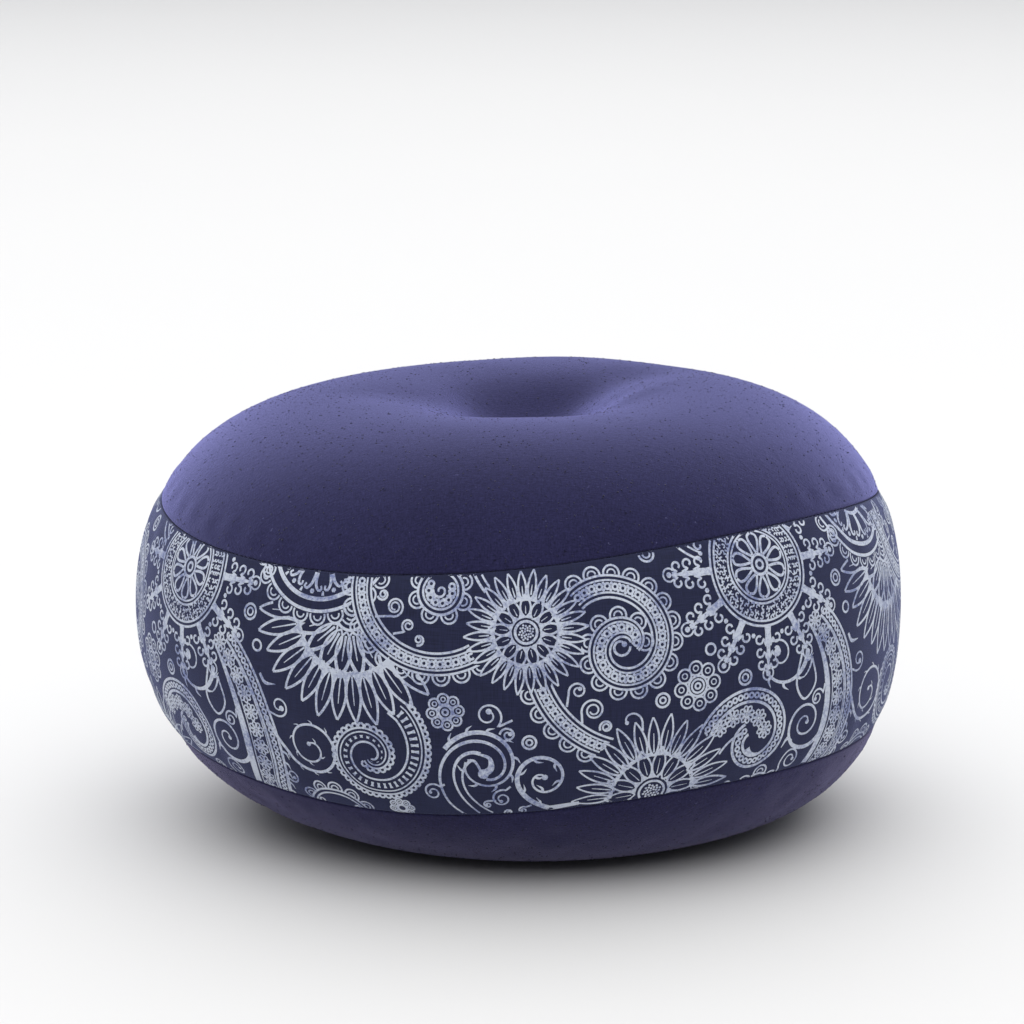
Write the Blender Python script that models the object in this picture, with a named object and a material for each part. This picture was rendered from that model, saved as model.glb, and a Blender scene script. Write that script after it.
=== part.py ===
"""Zafu meditation cushion: a round, firmly filled seat with a plain crown, a printed band and a plain base.

The filled body is one lopsided round form, wider and fuller on its right, with a funnel drawn down into the
middle of its crown. Two sewn seams run round it, each a little uneven in height. The body is parted along
them into crown, band and base, which are closed solids a hair apart. Metres, +Z up, +Y to the back.
"""

import math
from collections import namedtuple

import bpy
import numpy as np

# Body
WIDTH = 0.3645
WIDEST_AT = 0.1020
CROWN_RISE = 0.1053
BASE_DROP = 0.1068
CROWN_TILT = 0.018
BASE_TILT = 0.028
FOOT_BLEND = 0.0030

# Roundness of the profile, where 2 is an ellipse and more is squarer
CROWN_SIDE = 3.87
CROWN_SIDE_RIGHT = 0.16
CROWN_TOP = 2.19
BASE_SIDE = 4.32
BASE_SIDE_RIGHT = 1.43
BASE_FOOT = 2.15

# Unevenness of the girth: how many swells go round, where the first one peaks, how far it stands out
Swell = namedtuple("Swell", "count peak_deg out")
GIRTH_SWELLS = (
    Swell(count=2, peak_deg=15.0, out=0.0006),
    Swell(count=3, peak_deg=80.0, out=0.0005),
    Swell(count=5, peak_deg=200.0, out=0.0003),
)

# Seams: mean height, and the waves in that height round the body
Wave = namedtuple("Wave", "count cosine sine")
CROWN_SEAM_HEIGHT = 0.1534
CROWN_SEAM_WAVES = (
    Wave(count=1, cosine=-0.0005, sine=-0.0001),
    Wave(count=2, cosine=0.0014, sine=-0.0060),
    Wave(count=3, cosine=-0.0011, sine=-0.0007),
)
BASE_SEAM_HEIGHT = 0.0420
BASE_SEAM_WAVES = (
    Wave(count=2, cosine=0.0032, sine=-0.0024),
    Wave(count=3, cosine=-0.0003, sine=-0.0007),
    Wave(count=4, cosine=0.0000, sine=0.0018),
)
SEAM_GAP = 0.00032
SEAM_DRAW = 0.0008
SEAM_REACH = 0.0060

# Funnel in the middle of the crown: rounded dips laid on each other, where a squareness of 2 is a plain bell
Dip = namedtuple("Dip", "right back half_width half_depth squareness drop")
FUNNEL_DIPS = (
    Dip(right=0.001, back=-0.004, half_width=0.072, half_depth=0.068, squareness=2.0, drop=0.0120),
    Dip(right=0.003, back=-0.005, half_width=0.034, half_depth=0.042, squareness=3.0, drop=0.0165),
)

# Soft troughs that run out of the funnel, and ridges beside it, which have a drop below nothing
Trough = namedtuple("Trough", "right back bearing_deg length half_width drop")
CROWN_TROUGHS = (
    Trough(right=0.018, back=0.008, bearing_deg=46.0, length=0.100, half_width=0.018, drop=0.0040),
    Trough(right=-0.020, back=-0.004, bearing_deg=174.0, length=0.075, half_width=0.020, drop=0.0022),
    Trough(right=-0.004, back=0.020, bearing_deg=112.0, length=0.070, half_width=0.022, drop=0.0016),
    Trough(right=0.024, back=-0.062, bearing_deg=58.0, length=0.120, half_width=0.008, drop=-0.0020),
    Trough(right=-0.030, back=0.098, bearing_deg=2.0, length=0.110, half_width=0.032, drop=-0.0011),
)

# Mesh
SIDES = 120
CROWN_RINGS = 28
BAND_RINGS = 20
BASE_RINGS = 17
PROFILE_SAMPLES = 360
CENTRE_CROWDING = 0.75
WIDEST_CROWDING = 2.0
NEAR_SEAM = (0.0, 0.0018, 0.0045, 0.0085)

# Finish of the cloth
Cloth = namedtuple("Cloth", "name colour roughness metallic")
PLAIN_CLOTH = Cloth(
    name="plain_violet_navy_cloth",
    colour=(0.034, 0.034, 0.115, 1.0),
    roughness=0.85,
    metallic=0.0,
)
BAND_CLOTH = Cloth(
    name="printed_navy_cloth",
    colour=(0.045, 0.060, 0.160, 1.0),
    roughness=0.80,
    metallic=0.0,
)


def swelling(turn, swells):
    """Distance that the girth stands out at each angle."""
    return sum(s.out * np.cos(s.count * (turn - math.radians(s.peak_deg))) for s in swells)


def seam_height(turn, mean, waves):
    """Height of a seam at each angle."""
    return mean + sum(w.cosine * np.cos(w.count * turn) + w.sine * np.sin(w.count * turn) for w in waves)


def rounded_rise(share, side, top):
    """Rise of a profile, 0 to 1, at a share of its radius."""
    return np.maximum(1.0 - np.clip(share, 0.0, 1.0) ** side, 0.0) ** (1.0 / top)


def share_at_rise(rise, side, top):
    """Share of the radius at which a profile has the given rise."""
    return (1.0 - rise ** top) ** (1.0 / side)


def crown_side(turn):
    """Squareness of the crown's shoulder at each angle."""
    return CROWN_SIDE + CROWN_SIDE_RIGHT * np.cos(turn)


def base_side(turn):
    """Squareness of the base's shoulder at each angle."""
    return BASE_SIDE + BASE_SIDE_RIGHT * np.cos(turn)


def girth_radius(turn):
    """Radius of the widest line at each angle."""
    return WIDTH / 2.0 + swelling(turn, GIRTH_SWELLS)


def crown_drop(x, y):
    """Depth of the funnel and its troughs under the plain crown."""
    drop = np.zeros_like(x)
    for dip in FUNNEL_DIPS:
        across = np.abs((x - dip.right) / dip.half_width) ** dip.squareness
        deep = np.abs((y - dip.back) / dip.half_depth) ** dip.squareness
        drop = drop + dip.drop * np.exp(-across - deep)
    for trough in CROWN_TROUGHS:
        bearing = math.radians(trough.bearing_deg)
        from_x = x - trough.right
        from_y = y - trough.back
        along = (from_x * math.cos(bearing) + from_y * math.sin(bearing)) / trough.length
        across = (from_y * math.cos(bearing) - from_x * math.sin(bearing)) / trough.half_width
        fade = np.sin(math.pi * np.clip(along, 0.0, 1.0)) ** 2
        drop = drop + trough.drop * fade * np.exp(-(across ** 2))
    return drop


def crown_height(share, turn):
    """Height of the upper surface at a share of the girth radius."""
    radius = share * girth_radius(turn)
    x = radius * np.cos(turn)
    y = radius * np.sin(turn)
    rise = rounded_rise(share, crown_side(turn), CROWN_TOP)
    return WIDEST_AT + CROWN_RISE * rise + CROWN_TILT * x * rise - crown_drop(x, y) * rise


def base_height(share, turn):
    """Height of the lower surface, eased on to the flat foot."""
    x = share * girth_radius(turn) * np.cos(turn)
    fall = rounded_rise(share, base_side(turn), BASE_FOOT)
    plain = WIDEST_AT - BASE_DROP * fall + BASE_TILT * x * fall
    eased = (plain + FOOT_BLEND) ** 2 / (4.0 * FOOT_BLEND)
    return np.where(plain > FOOT_BLEND, plain, np.where(plain < -FOOT_BLEND, 0.0, eased))


def upper_share(height, turn):
    """Share of the girth radius where the plain crown has this height."""
    return share_at_rise((height - WIDEST_AT) / CROWN_RISE, crown_side(turn), CROWN_TOP)


def lower_share(height, turn):
    """Share of the girth radius where the base has this height."""
    return share_at_rise((WIDEST_AT - height) / BASE_DROP, base_side(turn), BASE_FOOT)


def crown_curve(turn):
    """Section (radius, height) from the crown seam in to the middle, at one angle."""
    seam = upper_share(seam_height(turn, CROWN_SEAM_HEIGHT, CROWN_SEAM_WAVES), turn)
    share = seam * np.linspace(1.0, 0.0, PROFILE_SAMPLES) ** CENTRE_CROWDING
    return share * girth_radius(turn), crown_height(share, turn)


def band_curve(turn):
    """Section from the crown seam down over the widest line to the base seam."""
    upper = upper_share(seam_height(turn, CROWN_SEAM_HEIGHT, CROWN_SEAM_WAVES), turn)
    lower = lower_share(seam_height(turn, BASE_SEAM_HEIGHT, BASE_SEAM_WAVES), turn)
    swing = np.linspace(0.0, 1.0, PROFILE_SAMPLES) ** WIDEST_CROWDING
    above = 1.0 - (1.0 - upper) * swing[::-1]
    below = 1.0 - (1.0 - lower) * swing
    share = np.concatenate([above, below[1:]])
    height = np.concatenate([crown_height(above, turn), base_height(below[1:], turn)])
    return share * girth_radius(turn), height


def base_curve(turn):
    """Section from the base seam down to the edge of the flat foot."""
    seam = lower_share(seam_height(turn, BASE_SEAM_HEIGHT, BASE_SEAM_WAVES), turn)
    share = seam * np.linspace(1.0, 0.0, PROFILE_SAMPLES) ** CENTRE_CROWDING
    height = base_height(share, turn)
    foot = int(np.argmax(height <= 0.0)) + 1
    return share[:foot] * girth_radius(turn), height[:foot]


def stations(length, rings, seam_at_start, seam_at_end):
    """Distances along a section, closer together beside a seam."""
    start = list(NEAR_SEAM) if seam_at_start else [0.0]
    end = [length - d for d in reversed(NEAR_SEAM)] if seam_at_end else [length]
    inner = rings + 1 - len(start) - len(end)
    between = np.linspace(start[-1], end[0], inner + 2)[1:-1]
    return np.array(start + list(between) + end)


def drawn_in(radius, height, along, length, seam_at_start, seam_at_end):
    """Pulls a section in beside its seams, square to its own line."""
    slope_r = np.gradient(radius, along)
    slope_z = np.gradient(height, along)
    size = np.hypot(slope_r, slope_z)
    draw = np.zeros_like(along)
    if seam_at_start:
        draw = draw + SEAM_DRAW * np.exp(-((along / SEAM_REACH) ** 2))
    if seam_at_end:
        draw = draw + SEAM_DRAW * np.exp(-(((length - along) / SEAM_REACH) ** 2))
    return radius + slope_z / size * draw, height - slope_r / size * draw


def sampled(curve, turn, rings, seam_at_start, seam_at_end):
    """Points (radius, height) of one section at its stations."""
    radius, height = curve(turn)
    steps = np.hypot(np.diff(radius), np.diff(height))
    along = np.concatenate([[0.0], np.cumsum(steps)])
    length = along[-1]
    at = stations(length, rings, seam_at_start, seam_at_end)
    drawn_r, drawn_z = drawn_in(radius, height, along, length, seam_at_start, seam_at_end)
    return np.interp(at, along, drawn_r), np.interp(at, along, drawn_z)


def ring_points(curve, rings, seam_at_start, seam_at_end):
    """Grid of points, one row for each station and one column for each angle."""
    grid = np.zeros((rings + 1, SIDES, 3))
    for side in range(SIDES):
        turn = 2.0 * math.pi * side / SIDES
        radius, height = sampled(curve, turn, rings, seam_at_start, seam_at_end)
        grid[:, side, 0] = radius * math.cos(turn)
        grid[:, side, 1] = radius * math.sin(turn)
        grid[:, side, 2] = height
    return grid


def capped_solid(name, rows, top_point, bottom_point, cloth):
    """Closed solid of stacked rings, top ring first, with a fan to a middle point at each end."""
    count = len(rows)
    points = [tuple(p) for row in rows for p in row]
    top = len(points)
    points.append(tuple(top_point))
    bottom = len(points)
    points.append(tuple(bottom_point))
    faces = []
    for ring in range(count - 1):
        for side in range(SIDES):
            near = ring * SIDES + side
            far = ring * SIDES + (side + 1) % SIDES
            faces.append((near, near + SIDES, far + SIDES, far))
    last = (count - 1) * SIDES
    for side in range(SIDES):
        after = (side + 1) % SIDES
        faces.append((top, side, after))
        faces.append((bottom, last + after, last + side))
    return cloth_object(name, points, faces, cloth)


def cloth_object(name, points, faces, cloth):
    """Named mesh object, shaded smooth, in its own material."""
    mesh = bpy.data.meshes.new(name)
    mesh.from_pydata(points, [], faces)
    mesh.update()
    mesh.shade_smooth()
    mesh.materials.append(cloth_material(cloth))
    made = bpy.data.objects.new(name, mesh)
    bpy.context.scene.collection.objects.link(made)
    return made


def cloth_material(cloth):
    """Principled material of one cloth."""
    material = bpy.data.materials.new(cloth.name)
    material.use_nodes = True
    shader = material.node_tree.nodes["Principled BSDF"]
    shader.inputs["Base Color"].default_value = cloth.colour
    shader.inputs["Roughness"].default_value = cloth.roughness
    shader.inputs["Metallic"].default_value = cloth.metallic
    return material


def middle_of(grids):
    """Offset that sets the middle of the body's plan on the origin."""
    points = np.concatenate([grid.reshape(-1, 3) for grid in grids])
    low = points.min(axis=0)
    high = points.max(axis=0)
    return np.array([(low[0] + high[0]) / 2.0, (low[1] + high[1]) / 2.0, 0.0])


def build_cushion():
    """The three panels, each a closed solid."""
    crown = ring_points(crown_curve, CROWN_RINGS, True, False)
    band = ring_points(band_curve, BAND_RINGS, True, True)
    base = ring_points(base_curve, BASE_RINGS, True, False)
    offset = middle_of([crown, band, base])
    crown, band, base = crown - offset, band - offset, base - offset
    half_gap = np.array([0.0, 0.0, SEAM_GAP / 2.0])
    crown[0] += half_gap
    band[0] -= half_gap
    band[-1] += half_gap
    base[0] -= half_gap
    crown_cut = np.array([0.0, 0.0, CROWN_SEAM_HEIGHT])
    base_cut = np.array([0.0, 0.0, BASE_SEAM_HEIGHT])
    crown_middle = crown[-1].mean(axis=0)
    foot_middle = np.zeros(3)
    capped_solid("crown_panel", crown[-2::-1], crown_middle, crown_cut + half_gap, PLAIN_CLOTH)
    capped_solid("printed_band", band, crown_cut - half_gap, base_cut + half_gap, BAND_CLOTH)
    capped_solid("base_panel", base, base_cut - half_gap, foot_middle, PLAIN_CLOTH)


def clear_scene():
    """Leaves no object of the startup scene."""
    for old in list(bpy.data.objects):
        bpy.data.objects.remove(old, do_unlink=True)


clear_scene()
build_cushion()
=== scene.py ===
"""Dresses the zafu cushion: three sewn panels of one filled body, with their cloth, seams and print."""

import logging
import math
from dataclasses import dataclass, field
from enum import Enum
from typing import Sequence

import bmesh
import bpy
import numpy as np
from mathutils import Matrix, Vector
from mathutils.bvhtree import BVHTree


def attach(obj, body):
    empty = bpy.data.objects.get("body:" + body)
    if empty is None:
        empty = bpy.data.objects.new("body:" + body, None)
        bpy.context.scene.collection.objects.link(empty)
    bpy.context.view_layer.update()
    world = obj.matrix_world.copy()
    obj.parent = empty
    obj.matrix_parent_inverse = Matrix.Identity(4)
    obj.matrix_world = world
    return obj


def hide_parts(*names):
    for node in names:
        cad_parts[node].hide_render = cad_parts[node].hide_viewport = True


logging.basicConfig(level=logging.INFO, format="%(levelname)s %(message)s")
LOG = logging.getLogger("zafu")

TAU = 2.0 * math.pi
BACK = 0.5 * math.pi
FRONT = 1.5 * math.pi
BODY = "root"
CLOTH_MAP = "cloth"
BAKE_MAP = "OFBake"
MILLIMETRE = 0.001
GOLDEN_DEG = 137.5

Point = tuple[float, float]
Colour = tuple[float, float, float, float]
Socket = bpy.types.NodeSocket


@dataclass(frozen=True)
class Swell:
    """Unevenness of the girth: how many swells go round, where one peaks, and how far it stands out."""

    count: int
    peak_deg: float
    out: float


@dataclass(frozen=True)
class Wave:
    """One wave in the height of a seam round the body."""

    count: int
    cosine: float
    sine: float


@dataclass(frozen=True)
class Dip:
    """A rounded dip in the crown."""

    right: float
    back: float
    half_width: float
    half_depth: float
    squareness: float
    drop: float


@dataclass(frozen=True)
class Trough:
    """A soft trough in the crown, or a ridge where the drop is below nothing."""

    right: float
    back: float
    bearing_deg: float
    length: float
    half_width: float
    drop: float


@dataclass(frozen=True)
class BodyForm:
    """Shape of the filled body, in metres, by the same named sizes as the solids."""

    width: float = 0.3645
    widest_at: float = 0.1020
    crown_rise: float = 0.1053
    base_drop: float = 0.1068
    crown_tilt: float = 0.018
    base_tilt: float = 0.028
    foot_blend: float = 0.0030
    crown_side: float = 3.87
    crown_side_right: float = 0.16
    crown_top: float = 2.19
    base_side: float = 4.32
    base_side_right: float = 1.43
    base_foot: float = 2.15
    crown_seam: float = 0.1534
    base_seam: float = 0.0420
    swells: tuple[Swell, ...] = (
        Swell(count=2, peak_deg=15.0, out=0.0006),
        Swell(count=3, peak_deg=80.0, out=0.0005),
        Swell(count=5, peak_deg=200.0, out=0.0003),
    )
    crown_waves: tuple[Wave, ...] = (
        Wave(count=1, cosine=-0.0005, sine=-0.0001),
        Wave(count=2, cosine=0.0014, sine=-0.0060),
        Wave(count=3, cosine=-0.0011, sine=-0.0007),
    )
    base_waves: tuple[Wave, ...] = (
        Wave(count=2, cosine=0.0032, sine=-0.0024),
        Wave(count=3, cosine=-0.0003, sine=-0.0007),
        Wave(count=4, cosine=0.0000, sine=0.0018),
    )
    dips: tuple[Dip, ...] = (
        Dip(right=0.001, back=-0.004, half_width=0.072, half_depth=0.068, squareness=2.0, drop=0.0120),
        Dip(right=0.003, back=-0.005, half_width=0.034, half_depth=0.042, squareness=3.0, drop=0.0165),
    )
    troughs: tuple[Trough, ...] = (
        Trough(right=0.018, back=0.008, bearing_deg=46.0, length=0.100, half_width=0.018, drop=0.0040),
        Trough(right=-0.020, back=-0.004, bearing_deg=174.0, length=0.075, half_width=0.020, drop=0.0022),
        Trough(right=-0.004, back=0.020, bearing_deg=112.0, length=0.070, half_width=0.022, drop=0.0016),
        Trough(right=0.024, back=-0.062, bearing_deg=58.0, length=0.120, half_width=0.008, drop=-0.0020),
        Trough(right=-0.030, back=0.098, bearing_deg=2.0, length=0.110, half_width=0.032, drop=-0.0011),
    )

    def girth(self, turn: np.ndarray) -> np.ndarray:
        """Radius of the widest line at each angle."""
        swell = sum(s.out * np.cos(s.count * (turn - math.radians(s.peak_deg))) for s in self.swells)
        return self.width / 2.0 + swell

    def seam_height(self, turn: np.ndarray, mean: float, waves: Sequence[Wave]) -> np.ndarray:
        """Height of a seam at each angle.

        Args:
            turn: Angles round the body, in radians.
            mean: Mean height of the seam.
            waves: The waves in its height.

        Returns:
            One height for each angle.
        """
        return mean + sum(w.cosine * np.cos(w.count * turn) + w.sine * np.sin(w.count * turn) for w in waves)

    def crown_seam_height(self, turn: np.ndarray) -> np.ndarray:
        """Height of the seam between crown and band."""
        return self.seam_height(turn, self.crown_seam, self.crown_waves)

    def base_seam_height(self, turn: np.ndarray) -> np.ndarray:
        """Height of the seam between band and base."""
        return self.seam_height(turn, self.base_seam, self.base_waves)

    def upper_side(self, turn: np.ndarray) -> np.ndarray:
        """Squareness of the crown's shoulder at each angle."""
        return self.crown_side + self.crown_side_right * np.cos(turn)

    def lower_side(self, turn: np.ndarray) -> np.ndarray:
        """Squareness of the base's shoulder at each angle."""
        return self.base_side + self.base_side_right * np.cos(turn)

    def crown_drop(self, x: np.ndarray, y: np.ndarray) -> np.ndarray:
        """Depth of the funnel and its troughs under the plain crown.

        Args:
            x: Distance to the right of the middle.
            y: Distance to the back of the middle.

        Returns:
            How far the crown is drawn down at each point.
        """
        drop = np.zeros_like(x)
        for dip in self.dips:
            across = np.abs((x - dip.right) / dip.half_width) ** dip.squareness
            deep = np.abs((y - dip.back) / dip.half_depth) ** dip.squareness
            drop = drop + dip.drop * np.exp(-across - deep)
        for trough in self.troughs:
            bearing = math.radians(trough.bearing_deg)
            from_x = x - trough.right
            from_y = y - trough.back
            along = (from_x * math.cos(bearing) + from_y * math.sin(bearing)) / trough.length
            across = (from_y * math.cos(bearing) - from_x * math.sin(bearing)) / trough.half_width
            fade = np.sin(math.pi * np.clip(along, 0.0, 1.0)) ** 2
            drop = drop + trough.drop * fade * np.exp(-(across**2))
        return drop

    def upper_height(self, share: np.ndarray, turn: float) -> np.ndarray:
        """Height of the upper surface.

        Args:
            share: Share of the girth radius, from 0 in the middle to 1 at the widest line.
            turn: Angle round the body.

        Returns:
            Height above the floor.
        """
        radius = share * self.girth(turn)
        x = radius * np.cos(turn)
        y = radius * np.sin(turn)
        rise = (1.0 - np.clip(share, 0.0, 1.0) ** self.upper_side(turn)) ** (1.0 / self.crown_top)
        return self.widest_at + rise * (self.crown_rise + self.crown_tilt * x - self.crown_drop(x, y))

    def lower_height(self, share: np.ndarray, turn: float) -> np.ndarray:
        """Height of the lower surface, eased on to the flat foot.

        Args:
            share: Share of the girth radius.
            turn: Angle round the body.

        Returns:
            Height above the floor.
        """
        x = share * self.girth(turn) * np.cos(turn)
        fall = (1.0 - np.clip(share, 0.0, 1.0) ** self.lower_side(turn)) ** (1.0 / self.base_foot)
        plain = self.widest_at - fall * (self.base_drop - self.base_tilt * x)
        eased = (plain + self.foot_blend) ** 2 / (4.0 * self.foot_blend)
        return np.where(plain > self.foot_blend, plain, np.where(plain < -self.foot_blend, 0.0, eased))

    def upper_share(self, height: float, turn: float) -> float:
        """Share of the girth radius where the plain crown has this height."""
        rise = (height - self.widest_at) / self.crown_rise
        return (1.0 - rise**self.crown_top) ** (1.0 / self.upper_side(turn))

    def lower_share(self, height: float, turn: float) -> float:
        """Share of the girth radius where the base has this height."""
        fall = (self.widest_at - height) / self.base_drop
        return (1.0 - fall**self.base_foot) ** (1.0 / self.lower_side(turn))

    def plan_middle(self) -> np.ndarray:
        """Middle of the body's plan, which the solids are centred on.

        Returns:
            The middle.
        """
        turns = np.linspace(0.0, TAU, 120, endpoint=False)
        x = self.girth(turns) * np.cos(turns)
        y = self.girth(turns) * np.sin(turns)
        return np.array([(x.min() + x.max()) / 2.0, (y.min() + y.max()) / 2.0, 0.0])


class PanelKind(Enum):
    """The three cut pieces of cloth."""

    CROWN = "crown"
    BAND = "band"
    BASE = "base"


@dataclass(frozen=True)
class MeshPlan:
    """How finely the panels are meshed, and how their cloth turns in at a seam."""

    sides: int = 360
    samples: int = 480
    centre_crowding: float = 0.75
    widest_crowding: float = 2.0
    lip_steps: int = 4
    lip_radius: float = 0.0009
    tuck_depth: float = 0.0024
    half_gap: float = 0.00016
    seam_draw: float = 0.0008
    seam_reach: float = 0.0060
    closing_draw: float = 0.0009
    closing_reach: float = 0.0032
    foot_height: float = 0.0010
    near_seam: tuple[float, ...] = (0.0012, 0.0026, 0.0044, 0.0066)


@dataclass(frozen=True)
class Section:
    """One section of a panel, from its upper or outer edge to its lower or inner one."""

    radius: np.ndarray
    height: np.ndarray

    def lengths(self) -> np.ndarray:
        """Distance along the section of each of its points."""
        return np.concatenate([[0.0], np.cumsum(np.hypot(np.diff(self.radius), np.diff(self.height)))])


@dataclass(frozen=True)
class PanelGrid:
    """A panel's points in rows round the body, with their places on the cloth and distances from a seam."""

    points: np.ndarray
    places: np.ndarray
    inland: np.ndarray


@dataclass(frozen=True)
class BakeSquare:
    """The square that colours are baked to: a disc for a round panel, rows one above another for the band."""

    rows: int = 4
    edge: float = 0.01
    pitch: float = 0.25
    height: float = 0.22
    low: float = -0.080
    tall: float = 0.160
    across: float = 2.0

    def disc(self, place: float, turn: float) -> Point:
        """Place of a corner of a round panel, by its distance from the middle and its angle."""
        return 0.5 + self.across * place * math.cos(turn), 0.5 + self.across * place * math.sin(turn)

    def strip(self, way: float | np.ndarray, row: float | np.ndarray, place: float | np.ndarray) -> tuple:
        """Place of a corner of the band, by its share of a row, its row and its height."""
        up = 2.0 * self.edge + self.pitch * row + self.height * (place - self.low) / self.tall
        return self.edge + (1.0 - 2.0 * self.edge) * way, up


BAKED = BakeSquare()


@dataclass(frozen=True)
class Settling:
    """How the filling pushes the cloth out between its seams, in a short cloth simulation."""

    every: int = 3
    pressure: float = 4.0
    slack: float = 0.012
    frames: int = 20
    quality: int = 4
    start_inside: float = 0.0010
    cap: float = 0.0022
    pin_reach: float = 0.012
    foot_held: float = 0.004
    foot_easing: float = 0.012
    funnel_held: float = 0.020
    funnel_easing: float = 0.030
    keep: float = 0.65

    def fill(self, obj: bpy.types.Object, seams: str) -> None:
        """Runs an object as cloth under the pressure of its filling.

        Args:
            obj: The object.
            seams: Name of its vertex group that is held.
        """
        cloth = obj.modifiers.new("filling", "CLOTH")
        cloth.settings.quality = self.quality
        cloth.settings.mass = 0.25
        cloth.settings.tension_stiffness = 25.0
        cloth.settings.compression_stiffness = 12.0
        cloth.settings.shear_stiffness = 6.0
        cloth.settings.bending_stiffness = 0.15
        cloth.settings.use_pressure = True
        cloth.settings.uniform_pressure_force = self.pressure
        cloth.settings.shrink_min = -self.slack
        cloth.settings.vertex_group_mass = seams
        cloth.settings.effector_weights.gravity = 0.0
        cloth.collision_settings.use_collision = False
        cloth.point_cache.frame_start, cloth.point_cache.frame_end = 1, self.frames
        for frame_number in range(1, self.frames + 1):
            bpy.context.scene.frame_set(frame_number)


def facing_out(mesh: bpy.types.Mesh) -> None:
    """Turns every face of a closed mesh outwards.

    Args:
        mesh: The mesh.
    """
    work = bmesh.new()
    work.from_mesh(mesh)
    bmesh.ops.recalc_face_normals(work, faces=work.faces)
    work.to_mesh(mesh)
    work.free()


def shown(name: str, mesh: bpy.types.Mesh) -> bpy.types.Object:
    """A new object of this mesh, linked to the scene.

    Args:
        name: Its name.
        mesh: The mesh.

    Returns:
        The object.
    """
    made = bpy.data.objects.new(name, mesh)
    bpy.context.scene.collection.objects.link(made)
    return made


def applied(obj: bpy.types.Object) -> bpy.types.Object:
    """Turns an object's modifiers into its own plain mesh.

    Args:
        obj: The object, with its modifiers.

    Returns:
        The same object with no modifier left.
    """
    graph = bpy.context.evaluated_depsgraph_get()
    mesh = bpy.data.meshes.new_from_object(obj.evaluated_get(graph), depsgraph=graph)
    obj.modifiers.clear()
    old = obj.data
    obj.data = mesh
    mesh.name = obj.name
    if old.users == 0:
        bpy.data.meshes.remove(old)
    return obj


class Shading:
    """Node tree of one finish, with short calls that add and join its nodes."""

    def __init__(self, name: str) -> None:
        """Starts a material with nothing but its output.

        Args:
            name: Its name.
        """
        self.material = bpy.data.materials.new(name)
        self.material.use_nodes = True
        self.tree = self.material.node_tree
        self.tree.nodes.clear()
        self.output = self.tree.nodes.new("ShaderNodeOutputMaterial")

    def add(self, kind: str, inputs: dict | None = None, **settings: object) -> bpy.types.Node:
        """Adds a node.

        Args:
            kind: Type of the node, without its prefix.
            inputs: Values or sockets for its inputs, by name or number.
            settings: Its own settings.

        Returns:
            The node.
        """
        node = self.tree.nodes.new("ShaderNode" + kind)
        for key, value in settings.items():
            setattr(node, key, value)
        for key, value in (inputs or {}).items():
            if isinstance(value, Socket):
                self.tree.links.new(value, node.inputs[key])
            else:
                node.inputs[key].default_value = value
        return node

    def cloth_place(self, scale: tuple[float, float, float]) -> Socket:
        """Place on the flat cloth, times a scale."""
        flat = self.add("UVMap", uv_map=CLOTH_MAP)
        return self.add("Mapping", {"Vector": flat.outputs[0], "Scale": scale}).outputs[0]

    def noise(self, place: Socket, scale: float, detail: float, rough: float = 0.5) -> Socket:
        """Cloudy value from 0 to 1."""
        made = self.add("TexNoise", {"Vector": place, "Scale": scale, "Detail": detail, "Roughness": rough})
        return made.outputs["Fac"]

    def ranged(self, value: Socket, low: float, high: float, to_low: float, to_high: float) -> Socket:
        """A value carried from one range to another, held at its ends."""
        inputs = {"Value": value, "From Min": low, "From Max": high, "To Min": to_low, "To Max": to_high}
        return self.add("MapRange", inputs).outputs["Result"]

    def math(self, operation: str, first: object, second: object = 0.0, third: object = 0.0) -> Socket:
        """One sum on two or three values."""
        return self.add("Math", {0: first, 1: second, 2: third}, operation=operation).outputs[0]

    def mixed(self, share: object, first: object, second: object) -> Socket:
        """Colour between two colours."""
        node = self.add("Mix", {0: share, 6: first, 7: second}, data_type="RGBA")
        return node.outputs[2]

    def bump(self, height: Socket, strength: float, distance: float, under: Socket | None = None) -> Socket:
        """Direction of a bumped surface, on top of another bump where there is one."""
        inputs = {"Height": height, "Strength": strength, "Distance": distance}
        return self.add("Bump", inputs | ({"Normal": under} if under else {})).outputs[0]

    def threads(self, along: float, across: float, detail: float) -> Socket:
        """Uneven tone of the threads that run both ways.

        Args:
            along: Scale of the unevenness along a thread.
            across: Scale from thread to thread.
            detail: Detail of the noise.

        Returns:
            The tone, from 0 to 1.
        """
        warp = self.noise(self.cloth_place((along, across, 1.0)), 1.0, detail, 0.6)
        weft = self.noise(self.cloth_place((across, along, 1.0)), 1.0, detail, 0.6)
        return self.math("MULTIPLY_ADD", warp, 0.5, self.math("MULTIPLY", weft, 0.5))

    def weave(self, pitch: float, uneven: float) -> Socket:
        """Height of a plain weave, from 0 between the threads to 1 on them.

        Args:
            pitch: Distance from thread to thread, in metres.
            uneven: How far the threads wander.

        Returns:
            The height.
        """
        place = self.cloth_place((1.0, 1.0, 1.0))
        scale = TAU / (20.0 * pitch)
        inputs = {"Vector": place, "Scale": scale, "Distortion": uneven, "Detail": 2.0, "Detail Scale": 0.35}
        warp = self.add("TexWave", inputs, wave_type="BANDS", bands_direction="X").outputs["Fac"]
        weft = self.add("TexWave", inputs, wave_type="BANDS", bands_direction="Y").outputs["Fac"]
        return self.math("MAXIMUM", warp, weft)

    def finished(self, shader: Socket) -> bpy.types.Material:
        """Joins the shader to the output and gives the material."""
        self.tree.links.new(shader, self.output.inputs["Surface"])
        return self.material


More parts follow.
